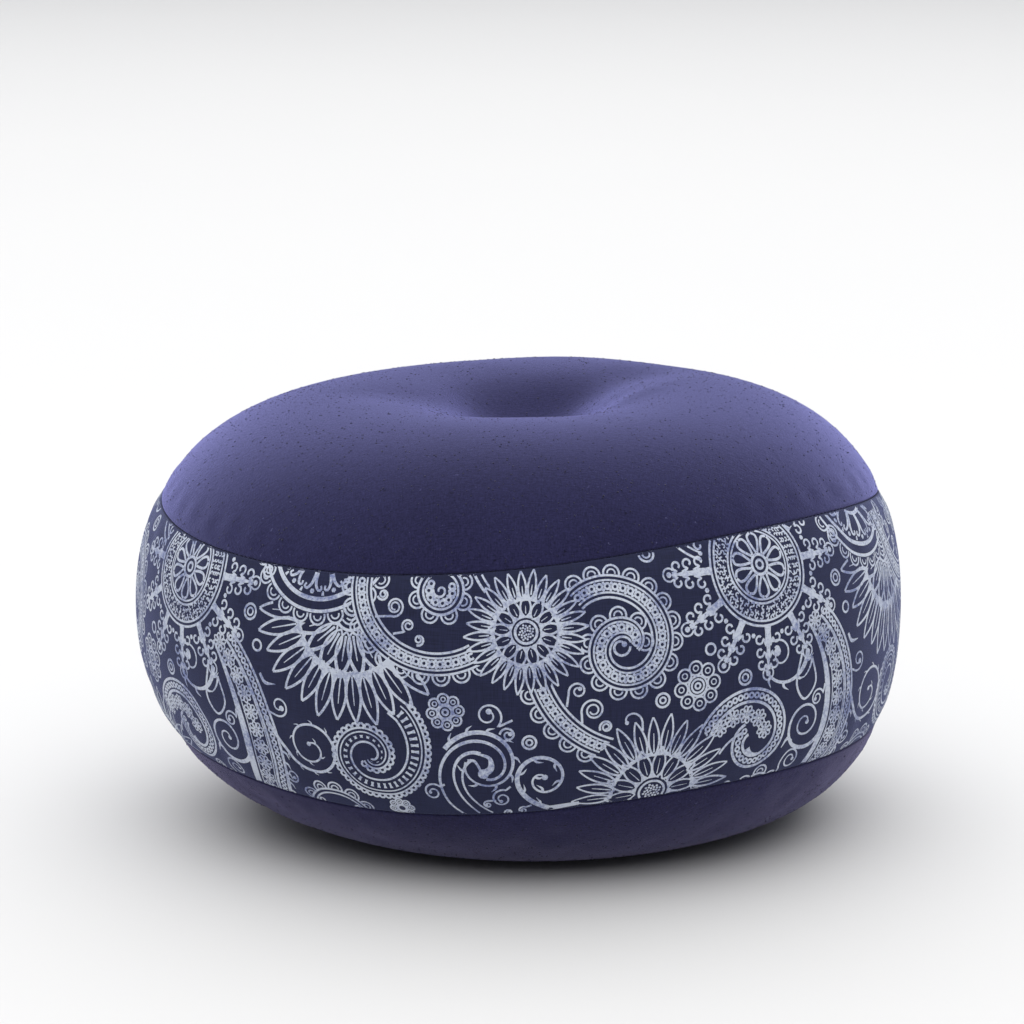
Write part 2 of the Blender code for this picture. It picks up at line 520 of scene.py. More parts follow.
@dataclass(frozen=True)
class NoilCloth:
    """Plain cloth of slubby yarn, with a soft bloom and small knots of short fibre."""

    name: str = "noil_cloth"
    shade: Colour = (0.0115, 0.0108, 0.0350, 1.0)
    bright: Colour = (0.0290, 0.0280, 0.0880, 1.0)
    knot: Colour = (0.0060, 0.0055, 0.0160, 1.0)
    fleck: Colour = (0.120, 0.120, 0.260, 1.0)
    sheen: float = 1.0
    sheen_tint: Colour = (0.44, 0.45, 1.0, 1.0)
    pitch: float = 0.00055

    def material(self) -> bpy.types.Material:
        """Builds the cloth's node tree.

        Returns:
            The material.
        """
        s = Shading(self.name)
        cloth = s.cloth_place((1.0, 1.0, 1.0))
        streaks = s.threads(240.0, 1500.0, 3.0)
        cloud = s.noise(cloth, 9.0, 3.0)
        grain = s.noise(cloth, 900.0, 2.0, 0.7)
        spots = s.math("MULTIPLY_ADD", grain, 0.35, s.math("MULTIPLY", cloud, 0.15))
        tone = s.math("MULTIPLY_ADD", streaks, 0.50, spots)
        body = s.mixed(s.ranged(tone, 0.40, 0.60, 0.0, 1.0), self.shade, self.bright)
        knots = s.ranged(s.noise(cloth, 210.0, 2.0, 0.55), 0.70, 0.74, 0.0, 0.85)
        body = s.mixed(knots, body, self.knot)
        flecks = s.ranged(s.noise(cloth, 330.0, 2.0, 0.6), 0.715, 0.75, 0.0, 0.45)
        body = s.mixed(flecks, body, self.fleck)
        weave = s.weave(self.pitch, 2.2)
        lumps = s.noise(cloth, 420.0, 3.0, 0.6)
        height = s.math("MULTIPLY_ADD", weave, 0.45, s.math("MULTIPLY", lumps, 0.8))
        bump = s.bump(height, 0.55, 0.00022, s.bump(streaks, 0.35, 0.0006))
        rough = s.ranged(grain, 0.3, 0.7, 0.78, 0.92)
        inputs = {"Base Color": body, "Roughness": rough, "Normal": bump, "Specular IOR Level": 0.08}
        inputs |= {"Sheen Weight": self.sheen, "Sheen Roughness": 0.40, "Sheen Tint": self.sheen_tint}
        return s.finished(s.add("BsdfPrincipled", inputs).outputs[0])


@dataclass(frozen=True)
class BandCloth:
    """Finer dark cloth that carries the print."""

    name: str = "band_cloth"
    shade: Colour = (0.0095, 0.0120, 0.0370, 1.0)
    bright: Colour = (0.0215, 0.0255, 0.0700, 1.0)
    sheen: float = 0.38
    sheen_tint: Colour = (0.42, 0.48, 1.0, 1.0)
    pitch: float = 0.00042

    def material(self) -> bpy.types.Material:
        """Builds the cloth's node tree.

        Returns:
            The material.
        """
        s = Shading(self.name)
        tone = s.threads(90.0, 2200.0, 2.0)
        body = s.mixed(s.ranged(tone, 0.38, 0.62, 0.0, 1.0), self.shade, self.bright)
        bump = s.bump(s.weave(self.pitch, 1.2), 0.4, 0.00014)
        inputs = {"Base Color": body, "Roughness": s.ranged(tone, 0.4, 0.6, 0.74, 0.86), "Normal": bump}
        inputs |= {"Specular IOR Level": 0.25, "Sheen Weight": self.sheen}
        inputs |= {"Sheen Roughness": 0.4, "Sheen Tint": self.sheen_tint}
        return s.finished(s.add("BsdfPrincipled", inputs).outputs[0])


@dataclass(frozen=True)
class PrintInk:
    """Pale pigment on the band, thick in places and worn thin on the high threads in others."""

    name: str = "print_ink"
    thick: Colour = (0.62, 0.67, 0.78, 1.0)
    thin: Colour = (0.19, 0.23, 0.44, 1.0)
    bare: Colour = (0.040, 0.046, 0.115, 1.0)
    pitch: float = 0.00042

    def material(self) -> bpy.types.Material:
        """Builds the ink's node tree.

        Returns:
            The material.
        """
        s = Shading(self.name)
        cloth = s.cloth_place((1.0, 1.0, 1.0))
        patch = s.noise(cloth, 42.0, 3.0, 0.6)
        fine = s.noise(cloth, 620.0, 3.0, 0.65)
        amount = s.math("MULTIPLY_ADD", patch, 0.55, s.math("MULTIPLY", fine, 0.45))
        ink = s.mixed(s.ranged(amount, 0.38, 0.54, 0.0, 1.0), self.thin, self.thick)
        worn = s.ranged(s.noise(cloth, 780.0, 2.0, 0.7), 0.60, 0.72, 0.0, 0.5)
        body = s.mixed(worn, ink, self.bare)
        bump = s.bump(s.weave(self.pitch, 1.2), 0.4, 0.00014)
        inputs = {"Base Color": body, "Roughness": s.ranged(fine, 0.3, 0.7, 0.66, 0.8), "Normal": bump}
        return s.finished(s.add("BsdfPrincipled", inputs | {"Specular IOR Level": 0.3}).outputs[0])


@dataclass(frozen=True)
class YarnFinish:
    """Loose yarn: sewing thread, knots of fibre and the fuzz on the cloth."""

    name: str
    shade: Colour
    bright: Colour
    grain: float
    sheen: float = 0.3

    def material(self) -> bpy.types.Material:
        """Builds the yarn's node tree.

        Returns:
            The material.
        """
        s = Shading(self.name)
        place = s.add("TexCoord").outputs["Object"]
        twist = s.noise(place, self.grain, 2.0, 0.6)
        body = s.mixed(s.ranged(twist, 0.35, 0.65, 0.0, 1.0), self.shade, self.bright)
        bump = s.bump(twist, 0.5, 0.0001)
        inputs = {"Base Color": body, "Roughness": s.ranged(twist, 0.3, 0.7, 0.75, 0.9), "Normal": bump}
        inputs |= {"Specular IOR Level": 0.2, "Sheen Weight": self.sheen, "Sheen Roughness": 0.4}
        return s.finished(s.add("BsdfPrincipled", inputs).outputs[0])


@dataclass(frozen=True)
class PaleFloor:
    """Smooth pale floor with a faint soft gloss."""

    name: str = "pale_floor"
    colour: Colour = (0.738, 0.735, 0.727, 1.0)
    roughness: float = 0.65

    def material(self) -> bpy.types.Material:
        """Builds the floor's node tree.

        Returns:
            The material.
        """
        s = Shading(self.name)
        place = s.add("TexCoord").outputs["Object"]
        cloud = s.noise(place, 1.5, 2.0)
        warm = (self.colour[0] * 0.985, self.colour[1] * 0.985, self.colour[2] * 0.99, 1.0)
        body = s.mixed(cloud, self.colour, warm)
        inputs = {"Base Color": body, "Roughness": self.roughness, "Specular IOR Level": 0.02}
        return s.finished(s.add("BsdfPrincipled", inputs).outputs[0])


def aimed(degrees: float | np.ndarray) -> np.ndarray:
    """Unit direction, or one for each angle."""
    return np.stack([np.cos(np.radians(degrees)), np.sin(np.radians(degrees))], axis=-1)


def arc(middle: Point, radius: float, start: float, end: float, step: float = 1.3) -> np.ndarray:
    """Points on a circular arc, from one angle to another in degrees."""
    count = max(4, int(abs(math.radians(end - start)) * radius / step) + 2)
    return np.asarray(middle) + aimed(np.linspace(start, end, count)) * radius


def coil(middle: Point, radii: Sequence[float], start: float, turns: float, step: float = 1.1) -> np.ndarray:
    """Points on a spiral.

    Args:
        middle: Its middle.
        radii: Its radius at even shares of its turns.
        start: Angle where it starts, in degrees.
        turns: Number of turns to the left, or below nothing to the right.
        step: Distance from point to point.

    Returns:
        The points, from its start.
    """
    count = max(8, int(abs(turns) * TAU * float(np.mean(radii)) / step))
    share = np.linspace(0.0, 1.0, count)
    curve = np.polyfit(np.linspace(0.0, 1.0, len(radii)), np.log(radii), len(radii) - 1)
    radius = np.exp(np.polyval(curve, share))
    return np.asarray(middle) + aimed(start + 360.0 * turns * share) * radius[:, None]


def flowing(points: Sequence[Point], step: float = 1.3) -> np.ndarray:
    """A smooth line through a few points.

    Args:
        points: The points.
        step: Distance from point to point.

    Returns:
        Points on the line.
    """
    place = np.asarray(points, dtype=float)
    ends = np.concatenate([[2.0 * place[0] - place[1]], place, [2.0 * place[-1] - place[-2]]])
    made = []
    for before, here, there, after in zip(ends[:-3], ends[1:-2], ends[2:-1], ends[3:]):
        count = max(2, int(np.linalg.norm(there - here) / step) + 1)
        t = np.linspace(0.0, 1.0, count, endpoint=False)[:, None]
        square = 2.0 * before - 5.0 * here + 4.0 * there - after
        bend = square * t**2 + (3.0 * here - before - 3.0 * there + after) * t**3
        made.append(here + 0.5 * ((there - before) * t + bend))
    return np.concatenate([*made, place[-1:]])


def sideways(path: np.ndarray) -> np.ndarray:
    """Unit direction to the left of a line at each of its points.

    Args:
        path: The line.

    Returns:
        One direction for each point.
    """
    run = np.gradient(path, axis=0)
    run /= np.linalg.norm(run, axis=1, keepdims=True) + 1.0e-9
    return np.stack([-run[:, 1], run[:, 0]], axis=1)


def beside(path: np.ndarray, away: float | np.ndarray) -> np.ndarray:
    """The line that runs beside another, to its left."""
    return path + sideways(path) * np.reshape(away, (-1, 1))


def paced(path: np.ndarray, pitch: float) -> tuple[np.ndarray, np.ndarray, np.ndarray]:
    """Even stations on a line: their points, their directions to the left and their shares of its length.

    Args:
        path: The line.
        pitch: Distance from one to the next.

    Returns:
        The points, directions and shares.
    """
    along = np.concatenate([[0.0], np.cumsum(np.linalg.norm(np.diff(path, axis=0), axis=1))])
    count = max(1, round(along[-1] / pitch))
    at = along[-1] * (np.arange(count) + 0.5) / count
    tracks = (path, sideways(path))
    place, left = (np.stack([np.interp(at, along, t[:, k]) for k in (0, 1)], axis=1) for t in tracks)
    return place, left / (np.linalg.norm(left, axis=1, keepdims=True) + 1.0e-9), at / along[-1]


def eased(values: Sequence[float] | float, count: int) -> np.ndarray:
    """A size that changes evenly along a line, at each of its points."""
    values = np.atleast_1d(values)
    return np.interp(np.linspace(0.0, 1.0, count), np.linspace(0.0, 1.0, len(values)), values)


class Pen:
    """Ink on the flat band: triangles in millimetres, right of the front and above the widest line."""

    def __init__(self) -> None:
        """Starts with nothing drawn."""
        self.parts: list[np.ndarray] = []

    def between(self, one: np.ndarray, two: np.ndarray) -> None:
        """Fills the strip between two lines of as many points.

        Args:
            one: One line.
            two: The other line.
        """
        first = np.stack([one[:-1], two[:-1], two[1:]], axis=1)
        second = np.stack([one[:-1], two[1:], one[1:]], axis=1)
        self.parts.append(np.concatenate([first, second]))

    def line(self, path: np.ndarray, widths: Sequence[float] | float) -> None:
        """Draws a line, of one width or of widths that change evenly along it."""
        half = 0.44 * eased(widths, len(path))
        self.between(beside(path, half), beside(path, -half))

    def ring(self, middle: Point, radius: float, width: float) -> None:
        """Draws a ring.

        Args:
            middle: Its middle.
            radius: Its radius.
            width: Width of its line.
        """
        way = aimed(np.linspace(0.0, 360.0, max(11, int(TAU * radius / 1.2)) + 1))
        seat = np.asarray(middle)
        self.between(seat + way * (radius + width / 2.0), seat + way * (radius - width / 2.0))

    def dots(self, middles: np.ndarray, radius: float, sides: int = 6) -> None:
        """Draws round dots.

        Args:
            middles: Their middles.
            radius: Their radius.
            sides: Number of their corners.
        """
        rim = aimed(360.0 * np.arange(sides) / sides) * radius
        fan = np.stack([np.stack([rim[0], rim[k], rim[k + 1]]) for k in range(1, sides - 1)])
        self.parts.append((np.reshape(middles, (-1, 1, 1, 2)) + fan[None]).reshape(-1, 3, 2))

    def wipe(self, path: np.ndarray, reach: float) -> None:
        """Takes away what is drawn within reach of a line, or of one point.

        Args:
            path: The line.
            reach: The distance.
        """
        for number, part in enumerate(self.parts):
            seat = part.mean(axis=1)
            near = np.full(len(part), False)
            for spot in np.reshape(path, (-1, 2)):
                near |= np.linalg.norm(seat - spot, axis=1) < reach
            self.parts[number] = part[~near]

    def petals(
        self,
        middle: Point,
        bearings: Sequence[float],
        reach: Point,
        half: float,
        widths: Sequence[float],
        vein: float,
        filled: float,
    ) -> None:
        """Draws a row of pointed petals.

        Args:
            middle: Middle of the flower.
            bearings: Directions of the petals, in degrees.
            reach: Distances of their feet and tips from the middle.
            half: Half their greatest width.
            widths: Widths of their outline, from foot to tip.
            vein: Width of their vein at the foot.
            filled: Share of their length up to which the ink also fills the gaps between them.
        """
        seat = np.asarray(middle)
        share = np.linspace(0.0, 1.0, max(7, int((reach[1] - reach[0]) / 1.7)))
        radius = reach[0] + (reach[1] - reach[0]) * share
        swell = half * np.sin(math.pi * share**0.85) ** 0.8
        for k, bearing in enumerate(bearings):
            longer = 1.0 + 0.025 * math.sin(2.3 * k)
            run = seat + aimed(bearing) * (radius * longer)[:, None]
            side = aimed(bearing + 90.0) * swell[:, None]
            self.line(run + side, widths)
            self.line(run - side, widths)
            if vein:
                self.line(run[1 : max(4, int(len(run) * 0.7))], (vein, vein * 0.4))
        cut = max(2, int(len(share) * filled))
        spread = np.degrees(np.arcsin(np.clip(swell / radius, 0.0, 0.9)))[:cut]
        for one, two in zip(bearings[:-1], bearings[1:]):
            if filled and np.all(two - one - 2.0 * spread > 0.0):
                near, far = (seat + aimed(a) * radius[:cut, None] for a in (one + spread, two - spread))
                self.between(far, near)

    def scallops(
        self,
        path: np.ndarray,
        pitch: float,
        radius: float,
        width: float,
        side: float = 1.0,
        inner: float = 0.5,
    ) -> None:
        """Draws a row of arches along a line.

        Args:
            path: The line.
            pitch: Distance from arch to arch.
            radius: Radius of an arch.
            width: Width of its outline.
            side: On which side they stand, 1 for left and -1 for right.
            inner: Share of the radius of the arch inside it, or nothing.
        """
        for place, left, _ in zip(*paced(path, pitch)):
            bearing = math.degrees(math.atan2(left[1] * side, left[0] * side))
            seat = place + left * side * radius * 0.25
            self.line(arc(seat, radius, bearing - 108.0, bearing + 108.0), width)
            if inner:
                self.line(arc(seat, radius * inner, bearing - 95.0, bearing + 95.0, 0.9), width * 0.8)

    def lace(self, path: np.ndarray, away: float, pitch: float = 3.7) -> None:
        """Draws openwork along a line: eyelets in a row, and points between them on both sides.

        Args:
            path: The line.
            away: Distance of the points from the row.
            pitch: Distance from one to the next.
        """
        place, left, _ = paced(path, pitch)
        for spot in place:
            self.ring(spot, 1.3, 1.1)
        for side in (1.0, -1.0):
            self.dots((place[1:] + place[:-1]) * 0.5 + left[1:] * away * side, 0.8, 5)

    def rungs(self, path: np.ndarray, pitch: float, half: np.ndarray, width: float) -> None:
        """Draws short bars across a ribbon.

        Args:
            path: The line.
            pitch: Distance from one to the next.
            half: Half their length along the line.
            width: Their width.
        """
        place, left, share = paced(path, pitch)
        reach = np.interp(share, np.linspace(0.0, 1.0, len(half)), half)
        for spot, way, much in zip(place, left, reach):
            bar = np.stack([spot - way * much, spot, spot + way * much])
            self.line(bar, (width, width * 0.7, width * 1.2))

    def leaves(self, path: np.ndarray, pitch: float, size: float, side: float) -> None:
        """Draws small hooked leaves along a stem.

        Args:
            path: The line.
            pitch: Distance from one to the next.
            size: Length of a leaf.
            side: Side they stand on, 1 for left and -1 for right.
        """
        for place, left, _ in zip(*paced(path, pitch)):
            out = left * side
            run = np.array([left[1], -left[0]])
            bend = place + out * size * 0.55 + run * size * 0.2
            tip = place + out * size * 0.9 + run * size
            self.line(flowing([place, bend, tip], 0.7), (size * 0.5, size * 0.35, 0.2))


@dataclass(frozen=True)
class Line:
    """A tapering line along a path, with a knob at its end and small leaves where it has them."""

    path: np.ndarray
    widths: tuple[float, ...] = (1.15, 0.8)
    knob: float = 0.0
    leaf: tuple[float, float, float] = (0.0, 0.0, 1.0)

    def draw(self, pen: Pen) -> None:
        """Draws the line.

        Args:
            pen: The pen that draws it.
        """
        pen.line(self.path, self.widths)
        if self.knob:
            pen.dots(self.path[-1], self.knob, 9)
        if self.leaf[0]:
            pen.leaves(self.path, *self.leaf)


def tendril(
    middle: Point, radius: float, start: float, turns: float, knob: float = 0.0, stem: Sequence[Point] = ()
) -> Line:
    """A thin spiral.

    Args:
        middle: Its middle.
        radius: Its outer radius.
        start: Angle where it starts, in degrees.
        turns: Number of turns to the left, or below nothing to the right.
        knob: Radius of the knob in its middle.
        stem: Points that lead to its start.

    Returns:
        The line.
    """
    path = coil(middle, (radius, radius * 0.3), start, turns, 0.9)
    if stem:
        path = np.concatenate([flowing([*stem, path[0]], 1.0)[:-1], path])
    return Line(path, (1.2, 0.85), knob)


@dataclass(frozen=True)
class Sunflower:
    """Round flower of an inner and an outer row of pointed petals."""

    middle: Point
    disc: float
    inner: tuple[int, float, float]
    outer: tuple[int, float, float]

    def draw(self, pen: Pen) -> None:
        """Draws the flower over what lies under it.

        Args:
            pen: The pen that draws it.
        """
        pen.wipe(self.middle, self.outer[2] * 0.93)
        count, near, far = self.outer
        bearings = [5.0 + 360.0 * k / count for k in range(count + 1)]
        half = math.pi * (near + far) / 2.0 / count * 0.76
        pen.petals(self.middle, bearings, (near * 0.93, far), half, (1.2, 1.1, 0.9), 0.9, 0.1)
        count, near, far = self.inner
        bearings = [8.0 + 360.0 * k / count for k in range(count + 1)]
        half = math.pi * (near + far) / 2.0 / count * 0.86
        pen.petals(self.middle, bearings, (near, far), half, (0.9, 1.0, 1.2), 0.6, 0.36)
        pen.ring(self.middle, self.disc * 1.36, 1.2)
        seeds = np.arange(1, 30)
        out = self.disc * 0.98 * np.sqrt(seeds / 30.0)
        pen.dots(np.asarray(self.middle) + aimed(seeds * GOLDEN_DEG) * out[:, None], self.disc * 0.15, 5)


@dataclass(frozen=True)
class Lotus:
    """Big half-open flower under a ringed pod."""

    pod: Point = (-97.0, 61.0)
    heart: Point = (-78.0, 27.0)
    windows: int = 14
    window: tuple[Point, ...] = ((14.5, 2.9), (18.0, 3.5), (22.0, 3.9), (25.0, 2.6), (24.6, 0.9), (23.0, 1.2))

    def draw(self, pen: Pen) -> None:
        """Draws the petals first, then the pod over them.

        Args:
            pen: The pen that draws it.
        """
        pen.wipe(self.heart, 47.0)
        outer = [183.0 + 11.3 * k for k in range(13)]
        pen.petals(self.heart, outer, (26.0, 49.5), 3.6, (2.2, 1.4, 1.3), 1.0, 0.3)
        inner = [179.0 + 20.6 * k for k in range(8)]
        pen.petals(self.heart, inner, (8.0, 29.0), 3.7, (1.0, 1.5, 2.2), 1.4, 0.85)
        pen.wipe(self.heart, 7.8)
        for radius, width in ((7.2, 1.5), (4.6, 1.0), (2.6, 0.9)):
            pen.line(arc(self.heart, radius, 170.0, 365.0), width)
        pen.wipe(self.pod, 40.0)
        pen.scallops(arc(self.pod, 35.6, -180.0, 180.0), 8.8, 3.8, 1.1, side=-1.0)
        pen.ring(self.pod, 34.4, 1.5)
        pen.ring(self.pod, 29.0, 2.0)
        apart = 360.0 / self.windows
        for k in range(self.windows):
            way, side = aimed(-108.0 + apart * k), aimed(-18.0 + apart * k)
            for hand in (1.0, -1.0):
                rail = [self.pod + way * r + side * s * hand for r, s in self.window]
                pen.line(flowing(rail, 1.1), (1.6, 1.7, 1.1))
            pen.line(self.pod + way * np.linspace(25.5, 27.5, 3)[:, None], (1.0, 1.8))
        pen.dots(self.pod + aimed(-108.0 + apart * (np.arange(self.windows) + 0.5)) * 25.8, 1.2)
        pen.ring(self.pod, 14.0, 1.8)
        pen.petals(self.pod, [36.0 * k for k in range(11)], (3.2, 12.0), 2.0, (1.1,), 0.8, 0.0)
        pen.ring(self.pod, 2.2, 1.2)


@dataclass(frozen=True)
class Wheel:
    """Round wheel of petals and filigree with curled arms."""

    middle: Point
    curls: tuple[tuple[Point, Point], ...] = (
        ((47.6, 0.6), (44.9, 3.7)),
        ((42.4, 0.9), (39.2, 4.6)),
        ((36.8, 1.2), (33.2, 5.0)),
    )
    petal: tuple[Point, ...] = ((5.4, 0.4), (8.0, 1.6), (11.0, 2.6), (13.6, 2.4), (14.9, 0.3))

    def sides(self, bearing: float, rail: Sequence[Point], widths: Sequence[float], pen: Pen) -> None:
        """Draws one line on either side of a spoke, by distances from the middle and from the spoke.

        Args:
            bearing: Direction of the spoke, in degrees.
            rail: Distances from the middle and from the spoke.
            widths: Widths of the line along it.
            pen: The pen that draws it.
        """
        way, side = aimed(bearing), aimed(bearing + 90.0)
        for hand in (1.0, -1.0):
            path = [np.asarray(self.middle) + way * r + side * s * hand for r, s in rail]
            pen.line(flowing(path, 0.9), widths)

    def arm(self, pen: Pen, bearing: float) -> None:
        """Draws one arm: a spine in a line that curls three times on either side, and a round knob.

        Args:
            pen: The pen that draws it.
            bearing: Direction of the spoke, in degrees.
        """
        way = aimed(bearing)
        spine = np.asarray(self.middle) + way * np.linspace(27.0, 48.0, 14)[:, None]
        pen.line(spine, (4.6, 3.6, 4.2, 2.2, 3.0, 1.4, 1.0))
        knob = np.asarray(self.middle) + way * 49.4
        pen.dots(knob, 1.35, 8)
        pen.line(arc(knob, 3.0, bearing - 140.0, bearing + 140.0, 1.0), 1.0)
        for root, seat in self.curls:
            self.sides(bearing, [root, *coil(seat, (2.3, 2.0, 1.1), -85.0, 0.86, 1.5)], (1.3, 1.2, 1.2), pen)

    def draw(self, pen: Pen) -> None:
        """Draws the wheel over what lies under it.

        Args:
            pen: The pen that draws it.
        """
        pen.wipe(self.middle, 30.0)
        middle = np.asarray(self.middle)
        for k in range(12):
            self.arm(pen, 30.0 * k)
        pen.dots(middle + aimed(30.0 * np.arange(12) + 15.0) * 32.4, 1.2)
        for radius, width in ((27.6, 1.1), (25.4, 1.0), (17.6, 1.0), (15.8, 0.9), (4.6, 1.4), (2.0, 1.3)):
            pen.ring(self.middle, radius, width)
        for k in range(10):
            self.sides(36.0 * k + 18.0, self.petal, (1.3, 1.5, 1.4), pen)
        for radius, count in ((19.2, 38), (20.9, 41), (22.6, 45), (24.0, 48)):
            for k in range(count):
                turn = 360.0 * k / count
                out, first = radius + 0.35 * math.sin(5.0 * k + radius), turn + 70.0 * k
                pen.line(arc(middle + aimed(turn) * out, 0.85, first, first + 230.0, 0.8), 0.85)


@dataclass(frozen=True)
class LaceRibbon:
    """Ribbon between double edges, with lace along it and scallops on one side."""

    path: np.ndarray
    half: tuple[float, ...]
    side: float

    def draw(self, pen: Pen) -> None:
        """Draws the ribbon over what lies under it.

        Args:
            pen: The pen that draws it.
        """
        half = eased(self.half, len(self.path))
        pen.wipe(self.path, 5.4)
        outer = beside(self.path, half * self.side)
        pen.line(outer, 1.2)
        pen.line(beside(self.path, -half * self.side), 1.2)
        for share in (0.56, -0.56):
            pen.line(beside(self.path, half * share), 1.0)
        pen.lace(self.path, 1.5)
        pen.scallops(outer, 8.9, 3.8, 1.1, side=self.side)


@dataclass(frozen=True)
class Fern:
    """Curled fern of bars between two edges, with a beaded outside."""

    path: np.ndarray
    half: tuple[float, ...]
    side: float = 1.0

    def draw(self, pen: Pen) -> None:
        """Draws the fern.

        Args:
            pen: The pen that draws it.
        """
        half = eased(self.half, len(self.path))
        pen.wipe(self.path, 4.4)
        pen.line(beside(self.path, half * self.side), 1.1)
        pen.line(beside(self.path, (half - 1.9) * self.side), 0.8)
        pen.line(beside(self.path, -half * self.side), 1.2)
        pen.rungs(beside(self.path, -0.8 * self.side), 3.2, (half - 1.9) * 0.8, 1.7)
        pen.scallops(beside(self.path, (half + 0.6) * self.side), 3.1, 1.4, 1.3, side=self.side, inner=0.0)


@dataclass(frozen=True)
class RingFlower:
    """Small flower of ringed petals."""

    middle: Point
    out: float
    petal: float
    rings: tuple[float, ...]

    def draw(self, pen: Pen) -> None:
        """Draws the flower.

        Args:
            pen: The pen that draws it.
        """
        for seat in np.asarray(self.middle) + aimed(45.0 * np.arange(8) + 8.0) * self.out:
            pen.ring(seat, self.petal, 0.95)
            pen.ring(seat, self.petal * 0.40, 0.6)
        for radius in self.rings:
            pen.ring(self.middle, radius, 1.0)


@dataclass(frozen=True)
class Pip:
    """One small ring, or two."""

    middle: Point
    radius: float
    inner: float = 0.0

    def draw(self, pen: Pen) -> None:
        """Draws the rings.

        Args:
            pen: The pen that draws it.
        """
        pen.ring(self.middle, self.radius, 1.1)
        if self.inner:
            pen.ring(self.middle, self.inner, 0.9)


@dataclass(frozen=True)
class Daisies:
    """Small daisies in a row along a path."""

    path: np.ndarray
    pitch: float
    radius: float

    def draw(self, pen: Pen) -> None:
        """Draws the daisies.

        Args:
            pen: The pen that draws it.
        """
        bearings = [45.0 * k + 11.0 for k in range(8)]
        reach = (self.radius * 0.25, self.radius)
        for place, _, _ in zip(*paced(self.path, self.pitch)):
            pen.petals(place, bearings, reach, self.radius * 0.29, (1.0, 0.9), 0.0, 0.0)
            pen.dots(place, self.radius * 0.18, 6)


@dataclass(frozen=True)
class Chain:
    """Border of eyelets between two edges."""

    path: np.ndarray
    half: float
    wiped: float = 0.0

    def draw(self, pen: Pen) -> None:
        """Draws the border.

        Args:
            pen: The pen that draws it.
        """
        if self.wiped:
            pen.wipe(self.path, self.wiped)
        for side in (1.0, -1.0):
            pen.line(beside(self.path, self.half * side), (1.5, 1.7))
        for place, _, _ in zip(*paced(self.path, 3.1)):
            pen.ring(place, 1.15, 1.0)


@dataclass(frozen=True)
class ScallopBall:
    """Ball of lace with a comma inside and scallops round it."""

    middle: Point
    radius: float

    def draw(self, pen: Pen) -> None:
        """Draws the ball.

        Args:
            pen: The pen that draws it.
        """
        pen.wipe(self.middle, self.radius)
        pen.scallops(arc(self.middle, self.radius, 180.0, -180.0), 8.4, 3.7, 1.1)
        pen.ring(self.middle, self.radius, 1.2)
        pen.ring(self.middle, self.radius - 2.4, 1.0)
        pen.lace(arc(self.middle, self.radius - 5.0, 130.0, 400.0), 1.3, 3.2)
        pen.line(coil(self.middle, (3.8, 1.0), 170.0, 1.1), (1.4, 1.0))


